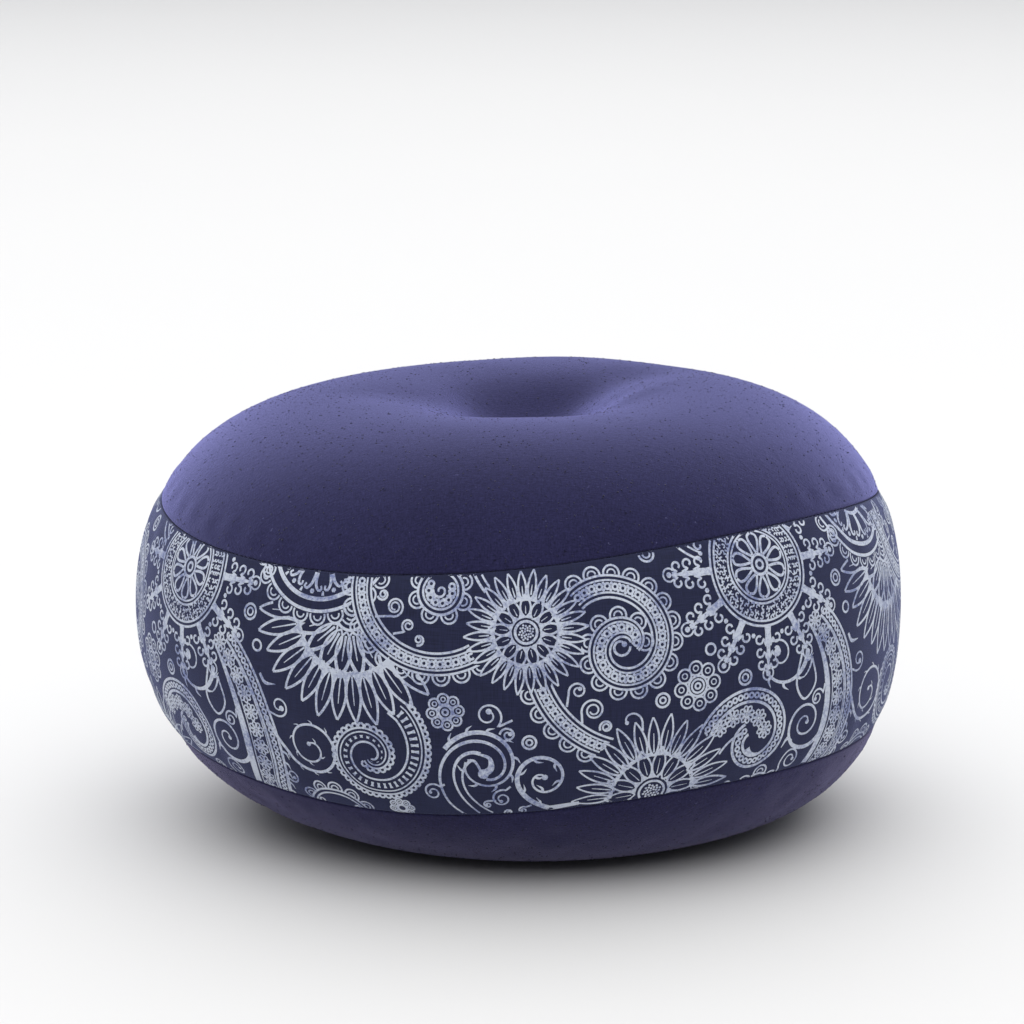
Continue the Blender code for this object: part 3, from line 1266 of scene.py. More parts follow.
@dataclass(frozen=True)
class PrintTile:
    """Everything in one repeat of the print."""

    length: float = 302.0
    rise: float = 10.0

    def ribbons(self) -> list:
        """Lace ribbons, balls and the fern, and the flowers that lie over them.

        Returns:
            The motifs, in the order they are drawn.
        """
        fern = coil((-70, -38), (28.0, 19.4, 15.2, 12.2, 8.6, 5.2, 2.4), 52.0, -1.5)
        curled = coil((48, 16), (30.5, 20.0, 16.2, 14.8, 10.4, 6.4, 3.8), 139.0, -1.44)
        return [
            LaceRibbon(arc((55, 15), 48.7, 197.0, 258.0), (4.9,), -1.0),
            Fern(np.concatenate([[(-57.0, -12.5), (-55.0, -14.1)], fern]), (4.3, 4.2, 3.8, 3.3, 2.7, 2.0)),
            Lotus(),
            LaceRibbon(arc((-38, 44), 36.5, 180.0, 306.0), (4.8,), -1.0),
            ScallopBall((-36, 40), 10.6),
            LaceRibbon(curled, (4.9, 4.9, 4.9, 4.8, 4.6, 3.9, 2.6), 1.0),
            Line(flowing([(46, -57), (30, -60), (14.6, -63.1)]), (1.4, 3.4)),
            Chain(flowing([(48, -62), (34, -64), (20, -66)]), 2.2),
            Line(arc((12, 64), 36.5, 200.0, 235.0), (1.5, 1.2)),
            Line(arc((12, 64), 33.5, 200.0, 235.0), (1.1,)),
            Line(coil((45.5, 15), (4.2, 3.4, 1.8), 0.0, -0.9), (1.2, 1.4, 1.0), 1.3),
            Sunflower((3, 22.5), 3.6, (13, 6.5, 16.5), (28, 15.0, 27.5)),
        ]

    def paisleys(self) -> list:
        """Curled paisley and long feather, the big flower and the wheel.

        Returns:
            The motifs, in the order they are drawn.
        """
        hook = coil((114, -34.5), (28.0, 21.0, 15.8, 12.0, 9.2, 6.6), 172.0, -1.12)
        chain = coil((95, -27), (77.0, 83.0, 83.5, 79.0), 37.0, -0.24)
        return [
            Chain(hook, 2.9, 3.0),
            Daisies(coil((113, -35), (22.0, 11.5, 7.0), 165.0, -0.45), 8.4, 4.3),
            Line(arc((112, -48), 18.0, 172.0, 105.0), (1.3,)),
            Line(coil((116, -38), (4.5, 4.0, 4.5), 190.0, 0.3), (3.2, 1.6, 0.4)),
            Sunflower((64, -56), 4.6, (14, 8.2, 23.5), (28, 21.0, 38.5)),
            Chain(chain, 2.9, 13.0),
            Line(arc((95, -27), 66.0, 40.0, -50.0), (1.2, 3.6, 5.2, 4.4, 2.4)),
            Line(arc((95, -27), 69.8, 34.0, -50.0), (0.8,)),
            Line(coil((95, -27), (74.0, 79.0, 79.0, 75.0), 36.0, -0.24), (0.8,)),
            Daisies(coil((95, -27), (68.5, 73.0, 74.5, 74.0, 72.0), 41.0, -0.25), 8.8, 4.4),
            Line(arc((95, -27), 87.5, -2.0, -30.0), (0.3, 1.6, 0.3), 0.0, (6.0, 3.6, 1.0)),
            Wheel((120, 45)),
        ]

    def curls(self) -> list:
        """Curled leaves and tendrils.

        Returns:
            The motifs, in the order they are drawn.
        """
        swirl = ((31.0, 19.0, 15.2, 12.6, 5.0), (29.0, 14.0, 11.2, 8.6), (25.0, 9.0, 6.6))
        scroll = coil((11, -46), (17.5, 12.0, 11.0, 8.6, 6.4, 3.6, 1.2), -78.0, -1.65)
        leafy = coil((-16, -38), (19.0, 14.5, 13.0, 11.5, 8.5), 160.0, -0.95)
        comma = flowing([(-18, -33.5), (-13.5, -35.5), (-13, -40.5), (-16.5, -43.5)], 0.8)
        rising = flowing([(-125, -26), (-120, -36), (-114.5, -44.5)])[:-1]
        whorl = coil((-101, -38), (15.0, 12.5, 12.0, 8.6, 4.8, 2.4), 206.0, 1.75)
        crook = coil((146, -32), (15.0, 11.0, 9.2, 7.6, 5.0, 3.6, 2.0), -10.0, -1.95)
        return [
            Line(coil((-18, -42), swirl[0], 268.0, -0.9), (1.0, 1.6, 1.8, 1.4, 1.6)),
            Line(coil((-18, -42), swirl[1], 275.0, -0.52), (1.0, 1.4, 2.2)),
            Line(coil((-18, -42), swirl[2], 282.0, -0.44), (1.0, 1.2, 1.8)),
            Line(leafy, (2.6, 2.0, 1.2, 1.1), 0.0, (9.0, 3.4, 1.0)),
            Line(comma, (1.2, 2.0, 3.4, 4.2), 2.6),
            Line(flowing([(-23.5, -37), (-20.5, -37), (-18.5, -40), (-17.5, -43)], 0.8), (1.8, 1.4, 1.2)),
            Line(scroll, (3.4, 2.2, 1.5, 1.2, 0.9), 1.5, (11.0, 3.6, -1.0)),
            tendril((-57, 32), 4.6, 250.0, 2.1, 0.0, ((-66, 27),)),
            tendril((-63, 37), 2.8, 200.0, 1.7),
            tendril((-50, 24), 3.3, 240.0, -1.6, 0.0, ((-57, 20),)),
            tendril((-45, 18), 2.7, 250.0, 1.6),
            tendril((-116, -19), 5.8, 230.0, 1.25, 1.4, ((-124, -22),)),
            Line(np.concatenate([rising, whorl]), (2.2, 1.3, 1.0), 1.2, (8.0, 2.2, -1.0)),
            tendril((-118, -56), 4.6, 200.0, 1.3, 1.0, ((-125, -57),)),
            tendril((-14, -15), 6.8, 310.0, 1.35, 1.4, ((-3, -17),)),
            tendril((-5, -24), 3.8, 175.0, -1.4, 1.1),
            tendril((-41, -55), 5.2, 45.0, 1.4, 0.9, ((-35, -50),)),
            tendril((-8, -57), 5.4, 70.0, 1.5, 1.0, ((-4, -50),)),
            tendril((-15, -61), 2.4, 90.0, 1.3, 0.8, ((-11, -58),)),
            tendril((2, -64.5), 2.6, 60.0, 1.4, 0.8, ((6, -61),)),
            tendril((-5, -66), 2.2, 200.0, -1.3, 0.7),
            tendril((26, -4), 4.4, 195.0, -1.4, 1.0, ((21, -11),)),
            tendril((33, -13), 5.6, 200.0, -2.0, 0.0, ((28, -19),)),
            tendril((39, -21), 3.2, 210.0, -1.9),
            tendril((50, -19), 5.8, 350.0, 0.6, 1.0, ((56, -24),)),
            tendril((127, 3), 7.6, 115.0, -0.95, 2.1, ((122, 10),)),
            Line(arc((131, 4), 14.0, 208.0, 355.0), (1.4, 1.8, 3.4), 0.0, (9.5, 4.0, -1.0)),
            Line(flowing([(141, 2), (138, -12), (144, -20), (151, -13), (148, -1)]), (1.5, 1.2)),
            Line(arc((137, 0), 11.0, -5.0, -62.0), (1.8, 0.5)),
            tendril((153, -21), 4.6, 20.0, 1.5, 1.0, ((158, -15),)),
            Line(crook, (2.8, 1.4, 1.2, 0.9), 1.2),
            Line(flowing([(140, -40), (136, -38), (133, -42)]), (1.0, 2.4, 0.4)),
            tendril((142, -50), 7.0, 215.0, -1.6, 1.0, ((135, -58),)),
            Line(flowing([(176, 5), (179, 1), (185, 1)]), (1.6, 2.0, 0.3)),
        ]

    def small(self) -> list:
        """Small flowers and rings between the rest.

        Returns:
            The motifs, in the order they are drawn.
        """
        return [
            RingFlower((-33, -14), 6.0, 2.5, (3.0, 1.3)),
            RingFlower((82, -5.5), 8.2, 3.2, (4.6, 3.1, 1.3)),
            RingFlower((-59, -67), 4.6, 1.9, (2.2,)),
            Pip((-127.5, 7.5), 2.5),
            Pip((88.5, 10.5), 2.5),
            Pip((-133, 22), 3.5, 1.7),
            Pip((4.5, -27.5), 3.1, 1.4),
            Pip((65, -10.5), 3.2, 1.4),
            Pip((107, -4.5), 3.4, 1.6),
            Pip((61, 55.5), 3.7, 1.9),
            Line(arc((103, 83), 36.0, 215.0, 245.0), (1.3,)),
            Line(arc((103, 83), 32.5, 215.0, 245.0), (1.1,)),
        ]

    def hidden(self) -> list:
        """Motifs of the same kinds above and below the front's part of the print.

        Returns:
            The motifs, in the order they are drawn.
        """
        return [
            ScallopBall((-96, -78), 18.0),
            ScallopBall((124, -63), 8.6),
            RingFlower((106, -63), 5.0, 2.2, (2.4,)),
            Sunflower((22, 80), 3.6, (12, 6.5, 15.0), (24, 14.0, 24.0)),
            RingFlower((72, 76), 8.2, 3.2, (4.6, 3.1, 1.3)),
            tendril((48, 66), 8.0, 200.0, 1.8, 1.2, ((38, 60),)),
            tendril((-32, 68), 8.0, 320.0, -1.8, 1.2, ((-18, 64),)),
            tendril((-6, -80), 8.0, 30.0, 1.8, 1.2, ((8, -76),)),
            tendril((-34, -82), 7.0, 150.0, -1.8, 1.2, ((-46, -78),)),
            Pip((-52, 62), 3.2, 1.5),
            Pip((176, 52), 3.4, 1.7),
        ]

    def drawn(self) -> np.ndarray:
        """Triangles of one repeat, in millimetres, all turned the same way.

        Returns:
            The triangles.
        """
        pen = Pen()
        for motif in [*self.ribbons(), *self.paisleys(), *self.curls(), *self.small(), *self.hidden()]:
            motif.draw(pen)
        corners = np.concatenate(pen.parts)
        one, two = corners[:, 1] - corners[:, 0], corners[:, 2] - corners[:, 0]
        area = one[:, 0] * two[:, 1] - one[:, 1] * two[:, 0]
        corners[area < 0.0] = corners[area < 0.0][:, ::-1]
        return corners[np.abs(area) > 1.0e-4]


@dataclass
class FilledPanel:
    """One panel of cloth with the filling behind it, as a closed padded piece."""

    kind: PanelKind
    name: str
    node: str
    slot: str
    rings: int
    fill: float
    form: BodyForm
    plan: MeshPlan
    settling: Settling
    laid: PanelGrid | None = None

    def section(self, turn: float) -> Section:
        """The panel's section at one angle, before its seams draw it in.

        Args:
            turn: Angle round the body.

        Returns:
            The section.
        """
        form, plan = self.form, self.plan
        if self.kind is PanelKind.CROWN:
            edge = form.upper_share(form.crown_seam_height(turn), turn)
            share = edge * np.linspace(1.0, 0.0, plan.samples) ** plan.centre_crowding
            return Section(share * form.girth(turn), form.upper_height(share, turn))
        if self.kind is PanelKind.BASE:
            edge = form.lower_share(form.base_seam_height(turn), turn)
            share = edge * np.linspace(1.0, 0.0, plan.samples) ** plan.centre_crowding
            return Section(share * form.girth(turn), form.lower_height(share, turn))
        upper = form.upper_share(form.crown_seam_height(turn), turn)
        lower = form.lower_share(form.base_seam_height(turn), turn)
        swing = np.linspace(0.0, 1.0, plan.samples) ** plan.widest_crowding
        above = 1.0 - (1.0 - upper) * swing[::-1]
        below = 1.0 - (1.0 - lower) * swing
        height = np.concatenate([form.upper_height(above, turn), form.lower_height(below[1:], turn)])
        return Section(np.concatenate([above, below[1:]]) * form.girth(turn), height)

    def stations(self, length: float) -> np.ndarray:
        """Distances along a section at which a row of points stands, closer together beside a seam.

        Args:
            length: Length of the section.

        Returns:
            The distances.
        """
        first = self.plan.lip_radius + self.plan.half_gap
        start = [first, *(first + d for d in self.plan.near_seam)]
        if self.kind is not PanelKind.BAND:
            return np.array([*start[:-1], *np.linspace(start[-1], length, self.rings)])
        end = [length - d for d in reversed(start)]
        return np.array([*start[:-1], *np.linspace(start[-1], end[0], self.rings), *end[1:]])

    def drawn_in(self, section: Section, along: np.ndarray) -> tuple[Section, np.ndarray, np.ndarray]:
        """Pulls a section in beside its seams.

        Args:
            section: The plain section.
            along: Distance along it of each point.

        Returns:
            The drawn section, and at each point the direction along it and the direction out of the cloth.
        """
        run = np.stack([np.gradient(section.radius, along), np.gradient(section.height, along)], axis=1)
        run /= np.linalg.norm(run, axis=1, keepdims=True)
        side = 1.0 if self.kind is PanelKind.CROWN else -1.0
        out = side * np.stack([run[:, 1], -run[:, 0]], axis=1)
        draw = np.exp(-((along / self.plan.seam_reach) ** 2))
        if self.kind is PanelKind.BAND:
            draw = draw + np.exp(-(((along[-1] - along) / self.plan.seam_reach) ** 2))
        draw = draw * self.plan.seam_draw
        return Section(section.radius - out[:, 0] * draw, section.height - out[:, 1] * draw), run, out

    def lip(self, edge: np.ndarray, toward: np.ndarray, out: np.ndarray) -> np.ndarray:
        """Points of the cloth where it turns in at a seam.

        Args:
            edge: Point (radius, height) on the seam line.
            toward: Unit direction along the cloth to the seam.
            out: Unit direction out of the cloth.

        Returns:
            Points from the shoulder of the turn down to the bottom of the tuck.
        """
        size, gap = self.plan.lip_radius, self.plan.half_gap
        turn = 0.5 * math.pi * np.arange(1, self.plan.lip_steps + 1)[:, None] / self.plan.lip_steps
        round_part = edge - toward * (size * (1.0 - np.sin(turn)) + gap) - out * size * (1.0 - np.cos(turn))
        return np.concatenate([round_part, [edge - toward * gap - out * (size + self.plan.tuck_depth)]])

    def column(self, turn: float) -> tuple[np.ndarray, np.ndarray, np.ndarray]:
        """All the points of one section of the closed panel.

        Args:
            turn: Angle round the body.

        Returns:
            Points (radius, height), places along the cloth, and distances from the nearest seam.
        """
        plain = self.section(turn)
        along = plain.lengths()
        drawn, run, out = self.drawn_in(plain, along)
        at = self.stations(along[-1])
        edge = np.stack([drawn.radius, drawn.height], axis=1)
        middle = np.stack([np.interp(at, along, drawn.radius), np.interp(at, along, drawn.height)], axis=1)
        count = self.plan.lip_steps + 1
        away = self.plan.lip_radius * (1.0 - np.arange(1, count + 1) / count)
        rows = [self.lip(edge[0], -run[0], out[0])[::-1], middle]
        places = [away[::-1], at]
        if self.kind is PanelKind.BAND:
            rows.append(self.lip(edge[-1], run[-1], out[-1]))
            places.append(along[-1] - away)
        placed = np.concatenate(places)
        if self.kind is PanelKind.BAND:
            widest = along[np.argmin(np.abs(plain.height - self.form.widest_at))]
            return np.concatenate(rows), widest - placed, np.minimum(placed, along[-1] - placed)
        return np.concatenate(rows), along[-1] - placed, placed

    def grid(self) -> PanelGrid:
        """Points of the whole panel, one row for each station, from the back round by the left.

        Returns:
            The grid.
        """
        sides = self.plan.sides
        columns = [self.column(BACK + TAU * side / sides) for side in range(sides)]
        rows = len(columns[0][0])
        points = np.zeros((rows, sides, 3))
        places = np.zeros((rows, sides))
        inland = np.zeros((rows, sides))
        for side, (section, place, from_seam) in enumerate(columns):
            turn = BACK + TAU * side / sides
            points[:, side, 0] = section[:, 0] * math.cos(turn)
            points[:, side, 1] = section[:, 0] * math.sin(turn)
            points[:, side, 2] = section[:, 1]
            places[:, side] = place
            inland[:, side] = from_seam
        if self.kind is PanelKind.BAND:
            away = np.minimum(np.arange(sides), sides - np.arange(sides)) * math.pi * self.form.width / sides
            points[:, :, 1] -= self.plan.closing_draw * np.exp(-((away / self.plan.closing_reach) ** 2))
        return PanelGrid(points - self.form.plan_middle(), places, inland)

    def cloth_place(self, side: float, place: float) -> tuple[float, float]:
        """Place of a corner on the flat cloth: way round and height for the band, else right and back.

        Args:
            side: Column of the corner.
            place: Its place along the cloth.

        Returns:
            Its place on the cloth.
        """
        turn = BACK + TAU * side / self.plan.sides
        if self.kind is PanelKind.BAND:
            return (turn - FRONT) * self.form.width / 2.0, place
        return place * math.cos(turn), place * math.sin(turn)

    def bake_place(self, side: float, face_side: int, place: float) -> tuple[float, float]:
        """Place of a corner on the square that colours are baked to.

        Args:
            side: Column of the corner.
            face_side: Column of its face.
            place: Place along the cloth.

        Returns:
            Its place on the square.
        """
        if self.kind is PanelKind.BAND:
            columns = self.plan.sides // BAKED.rows
            row = face_side // columns
            return BAKED.strip(side / columns - row, row, place)
        return BAKED.disc(place, BACK + TAU * side / self.plan.sides)

    def mesh(self, grid: PanelGrid) -> bpy.types.Mesh:
        """Closed mesh of the panel, facing outwards, with its maps of the flat cloth and of the bake.

        Args:
            grid: Points of the panel.

        Returns:
            The mesh.
        """
        rows, sides = grid.points.shape[:2]
        domed = self.kind is not PanelKind.BAND
        kept = rows - 1 if domed else rows
        points = [tuple(p) for p in grid.points[:kept].reshape(-1, 3)]
        faces: list[list[int]] = []
        flat: list[float] = []
        bake: list[float] = []
        for row in range(kept - 1):
            for side in range(sides):
                loop = ((row, side), (row, side + 1), (row + 1, side + 1), (row + 1, side))
                faces.append([r * sides + c % sides for r, c in loop])
                for r, c in loop:
                    flat += self.cloth_place(c, grid.places[r, c % sides])
                    bake += self.bake_place(c, side, grid.places[r, c % sides])
        for ring, spot in ((0, (0.50, 0.255)), (kept - 1, (0.70, 0.255))):
            pole = domed and ring > 0
            level = float(grid.points[ring][:, 2].mean())
            points.append(tuple(grid.points[-1].mean(axis=0)) if pole else (0.0, 0.0, level))
            # A lid inside a seam is never seen, so its colours bake to a small disc in a corner.
            corner = (0.04, 0.04, 0.03) if domed else (*spot, 0.008)
            for side in range(sides):
                faces.append([ring * sides + side, ring * sides + (side + 1) % sides, len(points) - 1])
                for c, out in ((side, 1.0), (side + 1, 1.0), (side + 0.5, 0.0)):
                    place = grid.places[ring, int(c) % sides] * (out if pole else 1.0)
                    flat += self.cloth_place(c, place)
                    if pole:
                        bake += self.bake_place(c, side, place)
                    else:
                        turn, away = BACK + TAU * c / sides, out * corner[2]
                        bake += (corner[0] + away * math.cos(turn), corner[1] + away * math.sin(turn))
        mesh = bpy.data.meshes.new(self.name)
        mesh.from_pydata(points, [], faces)
        mesh.uv_layers.new(name=CLOTH_MAP).data.foreach_set("uv", flat)
        mesh.uv_layers.new(name=BAKE_MAP).data.foreach_set("uv", bake)
        facing_out(mesh)
        mesh.polygons.foreach_set("use_smooth", [True] * len(mesh.polygons))
        mesh.update()
        return mesh

    def held(self, grid: PanelGrid) -> np.ndarray:
        """How firmly each point is held, from 0 free to 1 at a seam, on the foot or in the funnel.

        Args:
            grid: Points of the panel.

        Returns:
            A share for each point.
        """
        free = np.clip(grid.inland / self.settling.pin_reach, 0.0, 1.0)
        free = free * free * (3.0 - 2.0 * free)
        how = self.settling
        if self.kind is PanelKind.BASE:
            free = free * np.clip((grid.points[:, :, 2] - how.foot_held) / how.foot_easing, 0.0, 1.0)
        if self.kind is PanelKind.CROWN:
            free = free * np.clip((grid.places - how.funnel_held) / how.funnel_easing, 0.0, 1.0)
        return 1.0 - free

    def settled(self, grid: PanelGrid) -> PanelGrid:
        """Runs a coarser copy of the panel as cloth over its filling, and keeps the unevenness that it makes.

        Args:
            grid: The panel as cut.

        Returns:
            The panel with its cloth settled.
        """
        how, every = self.settling, self.settling.every
        rows, sides = grid.points.shape[:2]
        picked = np.unique([*range(0, rows, every), rows - 1])
        coarse = PanelGrid(*(part[picked][:, ::every] for part in (grid.points, grid.places, grid.inland)))
        copy = shown(self.name + "_settling", self.mesh(coarse))
        mesh = copy.data
        count = len(mesh.vertices)
        start = np.empty(count * 3)
        normal = np.empty(count * 3)
        mesh.vertices.foreach_get("co", start)
        mesh.vertices.foreach_get("normal", normal)
        start, normal = start.reshape(-1, 3), normal.reshape(-1, 3)
        hold = np.ones(count)
        cloth_rows = (count - 2) // (sides // every)
        ringed = cloth_rows * (sides // every)
        hold[:ringed] = self.held(coarse)[:cloth_rows].reshape(-1)
        small = start - normal * (how.start_inside * (1.0 - hold))[:, None]
        mesh.vertices.foreach_set("co", small.reshape(-1))
        group = copy.vertex_groups.new(name="seams")
        for index, weight in enumerate(hold):
            group.add([index], float(weight), "REPLACE")
        how.fill(copy, group.name)
        graph = bpy.context.evaluated_depsgraph_get()
        ran = np.empty(count * 3)
        copy.evaluated_get(graph).data.vertices.foreach_get("co", ran)
        bpy.data.objects.remove(copy)
        bpy.data.meshes.remove(mesh)
        bpy.context.scene.frame_set(1)
        out = np.einsum("ij,ij->i", ran.reshape(-1, 3) - small, normal)[:ringed].reshape(cloth_rows, -1)
        out = how.cap * np.tanh((out - out.mean(axis=1, keepdims=True)) / how.cap) * how.keep
        if cloth_rows < len(picked):
            out = np.concatenate([out, np.zeros((1, out.shape[1]))])
        around = np.arange(sides) / every
        finer = np.stack([np.interp(around, np.arange(out.shape[1] + 1), [*row, row[0]]) for row in out])
        row_of = np.arange(rows)
        finer = np.stack([np.interp(row_of, picked, finer[:, side]) for side in range(sides)], axis=1)
        finer = (np.roll(finer, 1, axis=1) + 2.0 * finer + np.roll(finer, -1, axis=1)) / 4.0
        finer[1:-1] = (finer[:-2] + 2.0 * finer[1:-1] + finer[2:]) / 4.0
        finer = finer * (1.0 - self.held(grid))
        most = float(np.abs(finer).max()) / MILLIMETRE
        LOG.info("%s settled over its filling by up to %.2f mm", self.name, most)
        across = np.roll(grid.points, -1, axis=1) - np.roll(grid.points, 1, axis=1)
        down = np.gradient(grid.points, axis=0)
        facing = np.cross(across, down) * (1.0 if self.kind is PanelKind.CROWN else -1.0)
        facing /= np.linalg.norm(facing, axis=2, keepdims=True) + 1.0e-12
        return PanelGrid(grid.points + facing * finer[:, :, None], grid.places, grid.inland)

    def skin(self) -> bpy.types.Mesh:
        """The settled cloth alone, without its foot and what turns in at its seams, to strew things on.

        Returns:
            The mesh.
        """
        first = self.plan.lip_steps + 2
        points = self.laid.points[first:-1]
        rows, sides = points.shape[:2]
        faces = []
        for row in range(rows - 1):
            for side in range(sides):
                one, two = row * sides + side, row * sides + (side + 1) % sides
                if points[row : row + 2, side, 2].min() > self.plan.foot_height:
                    faces.append([one, two, two + sides, one + sides])
        if self.kind is PanelKind.CROWN:
            faces = [face[::-1] for face in faces]
        mesh = bpy.data.meshes.new(self.name + "_skin")
        mesh.from_pydata([tuple(p) for p in points.reshape(-1, 3)], [], faces)
        mesh.update()
        return mesh

    def build(self, finish: bpy.types.Material) -> bpy.types.Object:
        """Makes the panel, settles it over its filling and dresses it.

        Args:
            finish: The panel's cloth.

        Returns:
            The finished piece.
        """
        grid = self.grid()
        grid = self.settled(grid)
        self.laid = grid
        made = shown(self.name, self.mesh(grid))
        made.data.materials.append(finish)
        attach(made, BODY)
        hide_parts(self.node)
        LOG.info("%s: %d faces", self.name, len(made.data.polygons))
        return made


@dataclass(frozen=True)
class ClothTable:
    """Points and directions out of a panel's settled cloth, by place round the body and along the cloth."""

    grid: PanelGrid
    low: float = -0.085
    high: float = 0.160
    step: float = 0.0005

    def sampled(self) -> tuple[np.ndarray, np.ndarray]:
        """Points on even places along every column, and the directions out of the cloth there.

        Returns:
            The points and the directions.
        """
        rising = np.arange(self.low, self.high, self.step)
        sides = self.grid.points.shape[1]
        points = np.zeros((len(rising), sides + 1, 3))
        for side in range(sides):
            places = self.grid.places[::-1, side]
            for axis in range(3):
                points[:, side, axis] = np.interp(rising, places, self.grid.points[::-1, side, axis])
        points[:, sides] = points[:, 0]
        round_way = np.gradient(points, axis=1)
        round_way[:, 0] = round_way[:, -1] = points[:, 1] - points[:, -2]
        out = np.cross(round_way, np.gradient(points, axis=0))
        return points, out / (np.linalg.norm(out, axis=2, keepdims=True) + 1.0e-12)

    def read(self, table: np.ndarray, side: np.ndarray, place: np.ndarray) -> np.ndarray:
        """Values of a table at places between its columns and rows.

        Args:
            table: The table.
            side: Places round the body, in columns.
            place: Places along the cloth.

        Returns:
            The values.
        """
        row = np.clip((place - self.low) / self.step, 0.0, table.shape[0] - 1.001)
        col = np.clip(side, 0.0, table.shape[1] - 1.001)
        r, c = row.astype(int), col.astype(int)
        fr, fc = (row - r)[:, None], (col - c)[:, None]
        upper = table[r, c] * (1.0 - fc) + table[r, c + 1] * fc
        return upper * (1.0 - fr) + (table[r + 1, c] * (1.0 - fc) + table[r + 1, c + 1] * fc) * fr


class Growing:
    """Node tree that sets small shapes on a cloth or along a seam, and gives them one finish."""

    def __init__(self, name: str, sizes: Sequence[str]) -> None:
        """Starts a tree with these sizes, a seed and a finish as its named inputs.

        Args:
            name: Its name.
            sizes: Names of its inputs for sizes.
        """
        self.tree = bpy.data.node_groups.new(name, "GeometryNodeTree")
        face = self.tree.interface
        face.new_socket("Geometry", in_out="OUTPUT", socket_type="NodeSocketGeometry")
        face.new_socket("Geometry", in_out="INPUT", socket_type="NodeSocketGeometry")
        for size in sizes:
            face.new_socket(size, in_out="INPUT", socket_type="NodeSocketFloat")
        face.new_socket("Seed", in_out="INPUT", socket_type="NodeSocketInt")
        face.new_socket("Finish", in_out="INPUT", socket_type="NodeSocketMaterial")
        self.start = self.tree.nodes.new("NodeGroupInput").outputs
        self.end = self.tree.nodes.new("NodeGroupOutput")

    def add(self, kind: str, inputs: dict | None = None, **settings: object) -> bpy.types.Node:
        """Adds a node.

        Args:
            kind: Full type of the node.
            inputs: Values or sockets for its inputs, by name or number.
            settings: Its own settings.

        Returns:
            The node.
        """
        node = self.tree.nodes.new(kind)
        for key, value in settings.items():
            setattr(node, key, value)
        for key, value in (inputs or {}).items():
            if isinstance(value, Socket):
                self.tree.links.new(value, node.inputs[key])
            else:
                node.inputs[key].default_value = value
        return node

    def between(self, low: object, high: object, shift: int) -> Socket:
        """A random number between two, other for each shape.

        Args:
            low: Lowest value.
            high: Highest value.
            shift: Number added to the seed, another for each use.

        Returns:
            The random number.
        """
        inputs = {0: self.start["Seed"], 1: float(shift)}
        seed = self.add("ShaderNodeMath", inputs, operation="ADD").outputs[0]
        node = self.add("FunctionNodeRandomValue", data_type="FLOAT")
        for name, value in (("Min", low), ("Max", high), ("Seed", seed)):
            socket = next(s for s in node.inputs if s.name == name and s.enabled)
            if isinstance(value, Socket):
                self.tree.links.new(value, socket)
            else:
                socket.default_value = value
        return next(s for s in node.outputs if s.enabled)

    def times(self, first: object, second: object) -> Socket:
        """Two numbers multiplied."""
        return self.add("ShaderNodeMath", {0: first, 1: second}, operation="MULTIPLY").outputs[0]

    def joined(self, x: object, y: object, z: object) -> Socket:
        """Three numbers as one vector."""
        return self.add("ShaderNodeCombineXYZ", {0: x, 1: y, 2: z}).outputs[0]

    def set_out(self, points: Socket, shape: Socket, turn: Socket, scale: Socket) -> None:
        """Sets the shape on every point, realized and finished, as the tree's result.

        Args:
            points: The points.
            shape: The shape.
            turn: Turn at each point.
            scale: Scale at each point.
        """
        inputs = {"Points": points, "Instance": shape, "Rotation": turn, "Scale": scale}
        every = self.add("GeometryNodeInstanceOnPoints", inputs).outputs[0]
        real = self.add("GeometryNodeRealizeInstances", {0: every}).outputs[0]
        smooth = self.add("GeometryNodeSetShadeSmooth", {0: real}).outputs[0]
        inputs = {"Geometry": smooth, "Material": self.start["Finish"]}
        done = self.add("GeometryNodeSetMaterial", inputs).outputs[0]
        self.tree.links.new(done, self.end.inputs[0])

    def scattered(self) -> tuple[Socket, Socket]:
        """Points strewn over the cloth, each with a turn that lays it on the cloth at a random bearing.

        Returns:
            The points and their turns.
        """
        inputs = {"Mesh": self.start["Geometry"]} | {name: self.start[name] for name in ("Density", "Seed")}
        strewn = self.add("GeometryNodeDistributePointsOnFaces", inputs)
        spin = self.joined(0.0, 0.0, self.between(0.0, TAU, 1))
        inputs = {"Rotation": strewn.outputs["Rotation"], "Rotate By": spin}
        turned = self.add("FunctionNodeRotateRotation", inputs, rotation_space="LOCAL")
        return strewn.outputs["Points"], turned.outputs[0]

    def grown(
        self, name: str, carrier: bpy.types.Mesh, values: dict[str, object], slot: str
    ) -> bpy.types.Object:
        """Runs the tree on a mesh and keeps the result as a plain piece.

        Args:
            name: Name of the piece.
            carrier: The cloth or the seam that the shapes are set on.
            values: Values of the tree's inputs, by name.
            slot: Material slot for the piece; not used.

        Returns:
            The finished piece.
        """
        made = shown(name, carrier)
        modifier = made.modifiers.new("growing", "NODES")
        modifier.node_group = self.tree
        for item in self.tree.interface.items_tree:
            if item.in_out == "INPUT" and item.name in values:
                modifier[item.identifier] = values[item.name]
        applied(made)
        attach(made, BODY)
        LOG.info("%s: %d faces", name, len(made.data.polygons))
        return made


